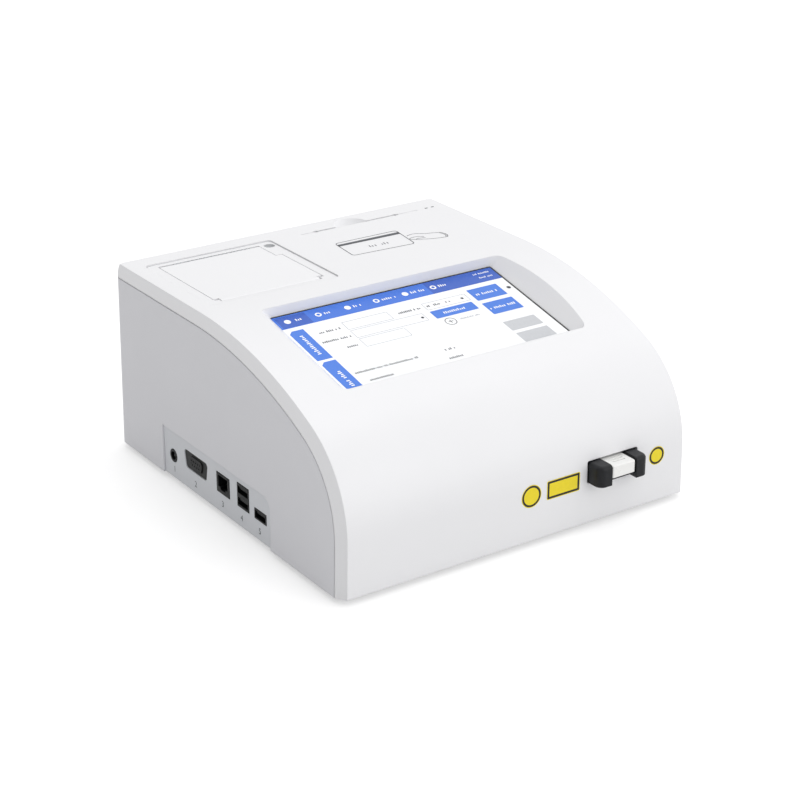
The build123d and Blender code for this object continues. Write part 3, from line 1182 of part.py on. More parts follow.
NODES = {
    "top_cover": top_cover,
    "left_side_panel": left_side_panel,
    "right_side_panel": right_side_panel,
    "rear_panel": rear_panel,
    "base_tray": base_tray,
    "rubber_feet": rubber_feet,
    "housing_screws": housing_screws,
    "board_screws": board_screws,
    "port_plate": port_plate,
    "network_jack": network_jack,
    "dual_usb_socket": dual_usb_socket,
    "single_usb_socket": single_usb_socket,
    "serial_connector": serial_connector,
    "power_jack": power_jack,
    "main_board": main_board,
    "processor_heatsink": processor_heatsink,
    "power_board": power_board,
    "touch_glass": touch_glass,
    "lcd_module": lcd_module,
    "display_bracket": display_bracket,
    "display_screws": display_screws,
    "display_ribbon": display_ribbon,
    "printer_frame": printer_frame,
    "printer_lid": printer_lid,
    "lid_hinge_pin": lid_hinge_pin,
    "platen_roller": platen_roller,
    "platen_gear": platen_gear,
    "thermal_head": thermal_head,
    "tear_bar": tear_bar,
    "paper_roll": paper_roll,
    "printer_motor": printer_motor,
    "release_button": release_button,
    "card_guide": card_guide,
    "card_reader_board": card_reader_board,
    "test_tray": test_tray,
    "carriage_bushes": carriage_bushes,
    "lead_nut": lead_nut,
    "test_cassette": test_cassette,
    "rail_frame": rail_frame,
    "guide_rods": guide_rods,
    "lead_screw": lead_screw,
    "stepper_motor": stepper_motor,
    "home_sensor": home_sensor,
    "optics_housing": optics_housing,
    "collecting_lens": collecting_lens,
    "emission_filter": emission_filter,
    "excitation_lens": excitation_lens,
    "excitation_filter": excitation_filter,
    "light_source": light_source,
    "detector_board": detector_board,
    "switch_housing": switch_housing,
    "power_rocker": power_rocker,
}


def main():
    """Build each node and write its file."""
    os.makedirs("parts", exist_ok=True)
    for name, build in NODES.items():
        made = build()
        if isinstance(made, list):
            made = Compound(children=made)
        export_step(made, f"parts/{name}.step")


main()
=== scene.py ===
"""Dresses the bench-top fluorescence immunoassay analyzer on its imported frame.

Lengths are in metres and the frame is the part's own: X to the right, Y to the rear, Z up.
"""

import logging
import math
from dataclasses import dataclass, field
from enum import Enum
from typing import Any, Dict, List, Optional, Sequence, Tuple, Union

import bpy
import numpy as np
from mathutils import Matrix, Vector


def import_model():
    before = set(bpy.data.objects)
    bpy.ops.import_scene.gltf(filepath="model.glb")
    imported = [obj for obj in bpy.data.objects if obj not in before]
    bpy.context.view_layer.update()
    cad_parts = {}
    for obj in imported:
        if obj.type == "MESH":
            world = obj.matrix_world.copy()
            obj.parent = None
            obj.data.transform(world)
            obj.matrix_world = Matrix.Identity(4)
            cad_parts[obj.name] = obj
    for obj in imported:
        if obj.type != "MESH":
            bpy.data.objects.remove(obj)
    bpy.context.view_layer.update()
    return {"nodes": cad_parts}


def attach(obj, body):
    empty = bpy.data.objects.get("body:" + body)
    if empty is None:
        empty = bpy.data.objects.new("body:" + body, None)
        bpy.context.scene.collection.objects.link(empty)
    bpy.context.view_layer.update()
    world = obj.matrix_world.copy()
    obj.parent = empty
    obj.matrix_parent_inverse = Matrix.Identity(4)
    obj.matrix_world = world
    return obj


LOG = logging.getLogger("analyzer")
MM = 0.001
Colour = Tuple[float, float, float]
Point = Tuple[float, float]

# Faces of the case that prints lie on.
FRONT_Y = -137.0 * MM
CASE_TOP = 132.5 * MM
PORT_PLATE_X = -134.5 * MM

# The sRGB curve: a straight foot up to the knee, then a shifted power.
SRGB_KNEE = 0.04045
SRGB_SLOPE = 12.92
SRGB_SHIFT = 0.055
SRGB_POWER = 2.4

# Nearly all noise values lie between these two.
NOISE_LOW = 0.3
NOISE_HIGH = 0.7

# Heights of printed shapes above their plane, in millimetres, each layer a little above the one before it.
PRINT_LIFT = 0.05
KEY_LIFT = 0.10
ICON_LIFT = 0.13
MARK_LIFT = 0.14


def at_depth(depth_mm: float) -> float:
    """Y in metres of a point that lies depth_mm behind the front face of the case."""
    return FRONT_Y + depth_mm * MM


def srgb(hex_colour: str) -> Colour:
    """Linear colour of a screen colour such as "E8E8EA".

    Args:
        hex_colour: six hexadecimal digits.

    Returns:
        Red, green and blue as linear values.
    """
    values = np.array([int(hex_colour[i:i + 2], 16) for i in (0, 2, 4)]) / 255.0
    curved = ((values + SRGB_SHIFT) / (1.0 + SRGB_SHIFT)) ** SRGB_POWER
    linear = np.where(values <= SRGB_KNEE, values / SRGB_SLOPE, curved)
    return tuple(float(v) for v in linear)


# --------------------------------------------------------------------------- finishes


class Grain(Enum):
    """Kind of fine surface relief."""

    SPARK = "spark-eroded mould texture"
    SMOOTH = "polished"


class Shader:
    """A small builder of node-based materials."""

    BEVEL_SAMPLES = 4

    def __init__(self, name: str) -> None:
        """Start a material with an empty Principled shader."""
        self.material = bpy.data.materials.new(name)
        self.material.use_nodes = True
        self.tree = self.material.node_tree
        self.surface = self.tree.nodes["Principled BSDF"]
        self._coordinates: Optional[bpy.types.NodeSocket] = None

    def node(self, kind: str, **values: Any) -> bpy.types.Node:
        """Add a node.

        Args:
            kind: Blender's node type.
            values: properties of the node, or values of its inputs by name.

        Returns:
            The new node.
        """
        made = self.tree.nodes.new(kind)
        for key, value in values.items():
            if hasattr(made, key):
                setattr(made, key, value)
            else:
                made.inputs[key.replace("_", " ")].default_value = value
        return made

    def link(self, output: bpy.types.NodeSocket, target: bpy.types.NodeSocket) -> None:
        """Join two sockets."""
        self.tree.links.new(output, target)

    def coordinates(self) -> bpy.types.NodeSocket:
        """Object coordinates, made once for each material."""
        if self._coordinates is None:
            self._coordinates = self.node("ShaderNodeTexCoord").outputs["Object"]
        return self._coordinates

    def noise(self, scale: float, detail: float = 3.0,
              stretch: Sequence[float] = (1, 1, 1)) -> bpy.types.NodeSocket:
        """Noise on object coordinates.

        Args:
            scale: waves in one metre.
            detail: octaves.
            stretch: factors along X, Y and Z.

        Returns:
            The noise value.
        """
        mapping = self.node("ShaderNodeMapping")
        mapping.inputs["Scale"].default_value = stretch
        self.link(self.coordinates(), mapping.inputs["Vector"])
        texture = self.node("ShaderNodeTexNoise", Scale=scale, Detail=detail)
        self.link(mapping.outputs["Vector"], texture.inputs["Vector"])
        return texture.outputs["Fac"]

    def ramp(self, value: bpy.types.NodeSocket, low: Colour, high: Colour,
             start: float = NOISE_LOW, end: float = NOISE_HIGH) -> bpy.types.NodeSocket:
        """Colour that changes with a value.

        Args:
            value: the value.
            low: colour at start and below.
            high: colour at end and above.
            start: value at which the change begins.
            end: value at which it is complete.

        Returns:
            The colour.
        """
        ramp = self.node("ShaderNodeValToRGB")
        ramp.color_ramp.elements[0].position = start
        ramp.color_ramp.elements[1].position = end
        ramp.color_ramp.elements[0].color = (*low, 1)
        ramp.color_ramp.elements[1].color = (*high, 1)
        self.link(value, ramp.inputs["Fac"])
        return ramp.outputs["Color"]

    def spread(self, value: bpy.types.NodeSocket, low: float, high: float) -> bpy.types.NodeSocket:
        """A noise value mapped to one from low to high.

        Args:
            value: the noise value.
            low: result at NOISE_LOW.
            high: result at NOISE_HIGH.

        Returns:
            The mapped value.
        """
        node = self.node("ShaderNodeMapRange", From_Min=NOISE_LOW, From_Max=NOISE_HIGH,
                         To_Min=low, To_Max=high)
        self.link(value, node.inputs["Value"])
        return node.outputs["Result"]

    def bump(self, height: bpy.types.NodeSocket, distance: float, strength: float,
             edge: float = 0.0) -> None:
        """Give the surface a relief and softened edges.

        Args:
            height: height as a value.
            distance: depth of the relief in metres.
            strength: share of it that shows.
            edge: radius in metres that sharp edges are shaded with.
        """
        node = self.node("ShaderNodeBump", Distance=distance, Strength=strength)
        self.link(height, node.inputs["Height"])
        self.link(node.outputs["Normal"], self.surface.inputs["Normal"])
        if edge > 0:
            rounded = self.node("ShaderNodeBevel", Radius=edge)
            rounded.samples = self.BEVEL_SAMPLES
            self.link(rounded.outputs["Normal"], node.inputs["Normal"])


@dataclass(frozen=True)
class Finish:
    """A finish that varies slightly in colour and roughness over its surface."""

    name: str
    colour: Colour
    roughness: float = 0.42
    metallic: float = 0.0
    spread: float = 0.03
    grain: Grain = Grain.SPARK
    grain_scale: float = 1600.0
    grain_depth: float = 0.00002
    specular: float = 0.5
    edge: float = 0.0003
    along: Sequence[float] = (1.0, 1.0, 1.0)
    cloud_scale: float = 14.0
    gloss_scale: float = 90.0
    gloss_spread: float = 0.12
    relief: float = 0.35

    def build(self) -> bpy.types.Material:
        """Make the material.

        Returns:
            A node-based material with cloudy colour, uneven gloss and fine relief.
        """
        shader = Shader(self.name)
        clouds = shader.noise(self.cloud_scale, 4.0)
        low = tuple(c * (1 - self.spread) for c in self.colour)
        high = tuple(min(1.0, c * (1 + self.spread)) for c in self.colour)
        shader.link(shader.ramp(clouds, low, high), shader.surface.inputs["Base Color"])
        uneven = shader.noise(self.gloss_scale, 5.0, self.along)
        smoothest = self.roughness * (1 - self.gloss_spread)
        roughest = min(1.0, self.roughness * (1 + self.gloss_spread))
        shader.link(shader.spread(uneven, smoothest, roughest), shader.surface.inputs["Roughness"])
        shader.surface.inputs["Metallic"].default_value = self.metallic
        shader.surface.inputs["Specular IOR Level"].default_value = self.specular
        strength = 0.0 if self.grain is Grain.SMOOTH else self.relief
        fine = shader.noise(self.grain_scale, 2.0, self.along)
        shader.bump(fine, self.grain_depth, strength, self.edge)
        return shader.material


@dataclass(frozen=True)
class GlassFinish:
    """Polished glass, clear or coloured."""

    name: str
    colour: Colour
    transmission: float = 0.9
    roughness: float = 0.04
    haze_scale: float = 60.0
    darkest: float = 0.94
    refraction: float = 1.5

    def build(self) -> bpy.types.Material:
        """Make the material.

        Returns:
            A glass with a faint haze in colour and gloss.
        """
        shader = Shader(self.name)
        haze = shader.noise(self.haze_scale)
        low = tuple(c * self.darkest for c in self.colour)
        shader.link(shader.ramp(haze, low, self.colour), shader.surface.inputs["Base Color"])
        gloss = shader.spread(haze, self.roughness, self.roughness * 1.6)
        shader.link(gloss, shader.surface.inputs["Roughness"])
        shader.surface.inputs["Transmission Weight"].default_value = self.transmission
        shader.surface.inputs["IOR"].default_value = self.refraction
        return shader.material


@dataclass(frozen=True)
class BoardFinish:
    """Solder mask with a web of fine copper tracks below it."""

    name: str = "solder_mask"
    mask: Colour = srgb("14512F")
    track: Colour = srgb("1F7A46")
    cell_scale: float = 210.0
    track_width: float = 0.06
    track_height: float = 0.00003

    def build(self) -> bpy.types.Material:
        """Make the material: tracks follow the edges of a cell pattern.

        Returns:
            The material, with tracks in a lighter colour and a little raised.
        """
        shader = Shader(self.name)
        cells = shader.node("ShaderNodeTexVoronoi", feature="DISTANCE_TO_EDGE", Scale=self.cell_scale)
        shader.link(shader.coordinates(), cells.inputs["Vector"])
        lines = shader.node("ShaderNodeMath", operation="LESS_THAN")
        lines.inputs[1].default_value = self.track_width
        shader.link(cells.outputs["Distance"], lines.inputs[0])
        shader.link(shader.ramp(lines.outputs["Value"], self.mask, self.track, 0.4, 0.6),
                    shader.surface.inputs["Base Color"])
        shader.link(shader.spread(shader.noise(120.0), 0.28, 0.4), shader.surface.inputs["Roughness"])
        shader.bump(lines.outputs["Value"], self.track_height, 0.5)
        return shader.material


@dataclass(frozen=True)
class PaperFinish:
    """Thermal paper, wound in fine layers that show on the roll's ends."""

    name: str = "thermal_paper"
    colour: Colour = srgb("F1F1EE")
    roughness: float = 0.75
    darkest: float = 0.93
    fibre_scale: float = 2600.0
    fibre_height: float = 0.00002
    along: Sequence[float] = (1.0, 6.0, 6.0)

    def build(self) -> bpy.types.Material:
        """Make the material.

        Returns:
            A material with fibre noise in colour and relief.
        """
        shader = Shader(self.name)
        fibre = shader.noise(self.fibre_scale, 3.0, self.along)
        low = tuple(c * self.darkest for c in self.colour)
        shader.link(shader.ramp(fibre, low, self.colour), shader.surface.inputs["Base Color"])
        shader.surface.inputs["Roughness"].default_value = self.roughness
        shader.bump(fibre, self.fibre_height, 0.5)
        return shader.material


@dataclass(frozen=True)
class InkFinish:
    """Flat printed colour, a little uneven, or the lit colour of a display."""

    name: str
    colour: Colour
    roughness: float = 0.45
    glow: float = 0.0
    mottle_scale: float = 500.0
    darkest: float = 0.96

    def build(self) -> bpy.types.Material:
        """Make the material.

        Returns:
            A material with a colour that varies by a few percent over the print.
        """
        shader = Shader(self.name)
        mottle = shader.noise(self.mottle_scale, 2.0)
        low = tuple(c * self.darkest for c in self.colour)
        tone = shader.ramp(mottle, low, self.colour)
        shader.link(tone, shader.surface.inputs["Base Color"])
        shader.surface.inputs["Roughness"].default_value = self.roughness
        if self.glow > 0:
            shader.link(tone, shader.surface.inputs["Emission Color"])
            shader.surface.inputs["Emission Strength"].default_value = self.glow
        return shader.material


AnyFinish = Union[Finish, GlassFinish, BoardFinish, PaperFinish, InkFinish]

WHITE = Finish("white_moulding", srgb("EDEDEF"), roughness=0.38, spread=0.006, grain_depth=0.00001,
               edge=0.0005)
# Painted shade: the cover's white plastic, made a little darker for the side panels, rear panel and base
# tray.
PAINTED_SHADE_SIDE = Finish("side_moulding_painted_shade", srgb("E8E8EC"), roughness=0.45, spread=0.008, edge=0.0005)
PORTS = Finish("port_plate_moulding", srgb("E0E2E6"), roughness=0.5, spread=0.01)
LID = Finish("lid_moulding", srgb("EFEFF1"), roughness=0.36, spread=0.006, grain_depth=0.00001, edge=0.0005)
BLACK = Finish("black_moulding", srgb("111214"), roughness=0.45, spread=0.1)
SOCKET = Finish("socket_moulding", srgb("08090A"), roughness=0.4, spread=0.15)
TRAY = Finish("tray_moulding", srgb("14161A"), roughness=0.42, grain_depth=0.00001, specular=0.35,
              edge=0.0005)
CASSETTE = Finish("cassette_plastic", srgb("F2F2F0"), roughness=0.3, spread=0.008, grain=Grain.SMOOTH)
RUBBER = Finish("foot_rubber", srgb("19191A"), roughness=0.8, spread=0.12, grain_scale=900.0,
                grain_depth=0.00004)
ROLLER = Finish("roller_rubber", srgb("222224"), roughness=0.7, spread=0.1, along=(0.2, 1, 1))
ZINC = Finish("zinc_screws", srgb("B9BCC0"), roughness=0.32, metallic=1.0, spread=0.06, grain_scale=700.0)
SHEET = Finish("galvanised_sheet", srgb("B4B7BA"), roughness=0.38, metallic=1.0, spread=0.1,
               grain_scale=160.0)
STEEL = Finish("ground_steel", srgb("CDD0D3"), roughness=0.16, metallic=1.0, spread=0.03, along=(1, 0.05, 1))
BRASS = Finish("turned_brass", srgb("C9A052"), roughness=0.26, metallic=1.0, spread=0.06, along=(1, 6, 1))
BRONZE = Finish("sintered_bronze", srgb("93683C"), roughness=0.5, metallic=1.0, spread=0.12)
ALLOY = Finish("extruded_alloy", srgb("8F9296"), roughness=0.4, metallic=1.0, spread=0.05, along=(1, 0.1, 1))
OPTICS = Finish("black_anodised", srgb("141416"), roughness=0.48, metallic=0.6, spread=0.12)
MOTOR = Finish("motor_paint", srgb("17181A"), roughness=0.4, metallic=0.3, spread=0.1)
MODULE = Finish("display_module", srgb("1B1C1F"), roughness=0.35, spread=0.08)
KEY = Finish("grey_key", srgb("A4A6A9"), roughness=0.4, spread=0.08)
FLEX = Finish("flexible_circuit", srgb("B9863F"), roughness=0.4, spread=0.12, along=(12, 0.2, 0.2))
GLASS = GlassFinish("touch_glass", srgb("0B0C0E"), transmission=0.0, roughness=0.05)
LENS = GlassFinish("lens_glass", srgb("EAF2F7"))
ORANGE = GlassFinish("orange_filter", srgb("E06A12"))
BLUE = GlassFinish("blue_filter", srgb("1C3FC0"))
BOARD = BoardFinish()
PAPER = PaperFinish()

NODE_FINISHES: Dict[str, AnyFinish] = {
    "top_cover": WHITE, "left_side_panel": PAINTED_SHADE_SIDE, "right_side_panel": PAINTED_SHADE_SIDE, "rear_panel": PAINTED_SHADE_SIDE,
    "base_tray": PAINTED_SHADE_SIDE, "rubber_feet": RUBBER, "housing_screws": ZINC, "board_screws": ZINC,
    "port_plate": PORTS, "network_jack": SOCKET, "dual_usb_socket": SOCKET, "single_usb_socket": SOCKET,
    "serial_connector": SOCKET, "power_jack": SOCKET, "main_board": BOARD, "processor_heatsink": ALLOY,
    "power_board": BOARD, "touch_glass": GLASS, "lcd_module": MODULE, "display_bracket": SHEET,
    "display_screws": ZINC, "display_ribbon": FLEX, "printer_frame": WHITE, "printer_lid": LID,
    "lid_hinge_pin": STEEL, "platen_roller": ROLLER, "platen_gear": BLACK, "thermal_head": ALLOY,
    "tear_bar": STEEL, "paper_roll": PAPER, "printer_motor": MOTOR, "release_button": KEY,
    "card_guide": BLACK, "card_reader_board": BOARD, "test_tray": TRAY, "carriage_bushes": BRONZE,
    "lead_nut": BRASS, "test_cassette": CASSETTE, "rail_frame": SHEET, "guide_rods": STEEL,
    "lead_screw": STEEL, "stepper_motor": MOTOR, "home_sensor": BLACK, "optics_housing": OPTICS,
    "collecting_lens": LENS, "emission_filter": ORANGE, "excitation_lens": LENS,
    "excitation_filter": BLUE, "light_source": BOARD, "detector_board": BOARD,
    "switch_housing": BLACK, "power_rocker": BLACK,
}


class Workshop:
    """Keeps each finish's material, so that it is made once."""

    def __init__(self) -> None:
        """Start with no materials."""
        self._made: Dict[str, bpy.types.Material] = {}

    def material(self, finish: AnyFinish) -> bpy.types.Material:
        """The material of a finish."""
        if finish.name not in self._made:
            self._made[finish.name] = finish.build()
        return self._made[finish.name]


# --------------------------------------------------------------------------- meshes


def mesh_piece(name: str, points: np.ndarray, faces: Sequence[Sequence[int]], body: str,
               materials: Sequence[bpy.types.Material],
               indices: Sequence[int]) -> bpy.types.Object:
    """Make one piece from arrays.

    Args:
        name: name of the piece.
        points: N by 3 array, in metres, in the part's frame.
        faces: corner numbers of each face, anticlockwise from outside.
        body: body of the frame that the piece moves with.
        materials: its materials.
        indices: for each face, the number of its material.

    Returns:
        The new object, at the origin.
    """
    mesh = bpy.data.meshes.new(name)
    mesh.from_pydata(np.asarray(points, float).tolist(), [], [list(map(int, f)) for f in faces])
    for material in materials:
        mesh.materials.append(material)
    mesh.polygons.foreach_set("material_index", np.asarray(indices, np.int32))
    mesh.update()
    piece = bpy.data.objects.new(name, mesh)
    bpy.context.scene.collection.objects.link(piece)
    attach(piece, body)
    LOG.info("%s: %d faces on %s", name, len(mesh.polygons), body)
    return piece


@dataclass
class FlatArt:
    """Flat shapes on a plane, each a little above the one before it.

    Points of the plane are origin + u * across + v * up + h * normal, with u, v and h in millimetres.
    """

    DISC_STEPS = 40
    MARK_STEP = 0.62
    MARK_WIDTH = 0.55
    MARK_SHORTEST = 0.55
    MARK_MISSING = 0.12

    origin: Vector
    across: Vector
    up: Vector
    points: List[np.ndarray] = field(default_factory=list)
    faces: List[List[int]] = field(default_factory=list)
    indices: List[int] = field(default_factory=list)
    inks: List[InkFinish] = field(default_factory=list)

    def place(self, plane: np.ndarray, height: float) -> np.ndarray:
        """Turn plane points (N by 2, millimetres) into points of the part's frame."""
        across, up = np.array(self.across), np.array(self.up)
        normal = np.cross(across, up)
        return np.array(self.origin) + (plane[:, :1] * across + plane[:, 1:] * up + height * normal) * MM

    def add(self, plane: np.ndarray, faces: Sequence[Sequence[int]], height: float,
            ink: InkFinish) -> None:
        """Add a shape.

        Args:
            plane: N by 2 array of points in millimetres.
            faces: corner numbers of its faces, anticlockwise.
            height: height above the plane in millimetres.
            ink: finish of the shape.
        """
        start = sum(len(p) for p in self.points)
        if ink not in self.inks:
            self.inks.append(ink)
        self.points.append(self.place(np.asarray(plane, float), height))
        self.faces += [[start + i for i in face] for face in faces]
        self.indices += [self.inks.index(ink)] * len(faces)

    def panel(self, low: Point, high: Point, ink: InkFinish, radius: float = 0.0,
              height: float = KEY_LIFT) -> None:
        """Add a rectangle with round corners.

        Formula: each corner's centre plus radius times (cos a, sin a), a running over its quarter turn.

        Args:
            low: lower left corner.
            high: upper right corner.
            ink: finish of the rectangle.
            radius: radius of its corners.
            height: height above the plane.
        """
        points = rounded_outline(low, high, radius)
        self.add(points, [range(len(points))], height, ink)

    def frame(self, low: Point, high: Point, width: float, ink: InkFinish, radius: float = 0.0,
              height: float = KEY_LIFT) -> None:
        """Add a rectangle's outline of even width.

        Formula: the strip between two rounded rectangles, one the width inside the other.

        Args:
            low: lower left corner.
            high: upper right corner.
            width: width of the line.
            ink: finish of the line.
            radius: outer radius of its corners.
            height: height above the plane.
        """
        outer = rounded_outline(low, high, radius)
        inner = rounded_outline((low[0] + width, low[1] + width), (high[0] - width, high[1] - width),
                                max(0.0, radius - width))
        self.strip(outer, inner, height, ink)

    def strip(self, outer: np.ndarray, inner: np.ndarray, height: float, ink: InkFinish) -> None:
        """Add the closed strip between two outlines with equally many points.

        Args:
            outer: outer outline, anticlockwise.
            inner: inner outline, anticlockwise.
            height: height above the plane.
            ink: finish of the strip.
        """
        count = len(outer)
        faces = [(k, (k + 1) % count, count + (k + 1) % count, count + k) for k in range(count)]
        self.add(np.vstack([outer, inner]), faces, height, ink)

    def disc(self, centre: Point, radius: float, ink: InkFinish, height: float = KEY_LIFT,
             hole: float = 0.0) -> None:
        """Add a disc or a ring.

        Formula: centre plus radius times (cos a, sin a), a running over a full turn.

        Args:
            centre: centre of the disc.
            radius: its radius.
            ink: finish of the disc.
            height: height above the plane.
            hole: radius of its hole, or 0 for none.
        """
        turn = np.linspace(0, 2 * np.pi, self.DISC_STEPS, endpoint=False)
        ring = np.column_stack([np.cos(turn), np.sin(turn)])
        if hole > 0:
            self.strip(np.array(centre) + radius * ring, np.array(centre) + hole * ring, height, ink)
        else:
            self.add(np.array(centre) + radius * ring, [range(self.DISC_STEPS)], height, ink)

    def line(self, start: Point, end: Point, width: float, ink: InkFinish) -> None:
        """Add a straight line, half its width to each side of the axis.

        Args:
            start: start of the axis.
            end: end of the axis.
            width: width of the line.
            ink: finish of the line.
        """
        a, b = np.array(start, float), np.array(end, float)
        along = (b - a) / np.linalg.norm(b - a)
        side = np.array([-along[1], along[0]]) * width / 2
        self.add(np.array([a - side, b - side, b + side, a + side]), [(0, 1, 2, 3)], KEY_LIFT, ink)

    def route(self, path: np.ndarray, width: float, ink: InkFinish, height: float) -> None:
        """Add an open line through points.

        Formula: each point shifted by half the width along its own normal, to both sides.

        Args:
            path: N by 2 array of points on the axis.
            width: width of the line.
            ink: finish of the line.
            height: height above the plane.
        """
        p = np.array(path, float)
        along = np.gradient(p, axis=0)
        along /= np.linalg.norm(along, axis=1)[:, None]
        side = np.column_stack([-along[:, 1], along[:, 0]]) * width / 2
        count = len(p)
        faces = [(k, k + 1, count + k + 1, count + k) for k in range(count - 1)]
        self.add(np.vstack([p - side, p + side]), faces, height, ink)

    def dashes(self, low: Point, length: float, tall: float, ink: InkFinish, seed: int,
               turned: bool = False, height: float = MARK_LIFT) -> None:
        """Add a row of small upright bars that stands for a line of writing, with no letters in it.

        Args:
            low: lower left end of the row.
            length: length of the row.
            tall: height of the tallest bar.
            ink: finish of the bars.
            seed: choice of the bars' heights and gaps.
            turned: True for a row that runs upwards.
            height: height above the plane.
        """
        random = np.random.default_rng(seed)
        step = tall * self.MARK_STEP
        for k in range(max(1, int(length / step))):
            if random.random() < self.MARK_MISSING:
                continue
            size = tall * (self.MARK_SHORTEST + (1 - self.MARK_SHORTEST) * random.random())
            a, b = k * step, k * step + step * self.MARK_WIDTH
            if turned:
                self.panel((low[0] - size, low[1] + a), (low[0], low[1] + b), ink, 0.0, height)
            else:
                self.panel((low[0] + a, low[1]), (low[0] + b, low[1] + size), ink, 0.0, height)

    def build(self, name: str, body: str, shop: Workshop) -> bpy.types.Object:
        """Make the piece from all shapes.

        Args:
            name: name of the piece.
            body: body of the frame that it moves with.
            shop: keeper of the materials.

        Returns:
            The new object.
        """
        return mesh_piece(name, np.vstack(self.points), self.faces, body,
                          [shop.material(i) for i in self.inks], self.indices)


def rounded_outline(low: Point, high: Point, radius: float, steps: int = 5) -> np.ndarray:
    """Outline of a rectangle with round corners, anticlockwise.

    Args:
        low: lower left corner.
        high: upper right corner.
        radius: radius of the corners.
        steps: points in each corner.

    Returns:
        N by 2 array: each corner's centre plus radius times (cos a, sin a).
    """
    centres = np.array([(high[0] - radius, high[1] - radius), (low[0] + radius, high[1] - radius),
                        (low[0] + radius, low[1] + radius), (high[0] - radius, low[1] + radius)])
    turn = np.linspace(0, np.pi / 2, steps)
    angles = turn[None, :] + np.arange(4)[:, None] * np.pi / 2
    ring = np.stack([np.cos(angles), np.sin(angles)], axis=2) * radius
    return (centres[:, None, :] + ring).reshape(-1, 2)


# --------------------------------------------------------------------------- sub-assemblies


@dataclass(frozen=True)
class Box:
    """A rectangle of the screen, in millimetres from the left and the rear edge of the view."""

    left: float
    bottom: float
    right: float
    top: float


@dataclass(frozen=True)
class MarkRow:
    """A row of marks of the screen, in millimetres from the left and the rear edge of the view."""

    left: float
    bottom: float
    length: float
    seed: int
    tall: float = 2.2


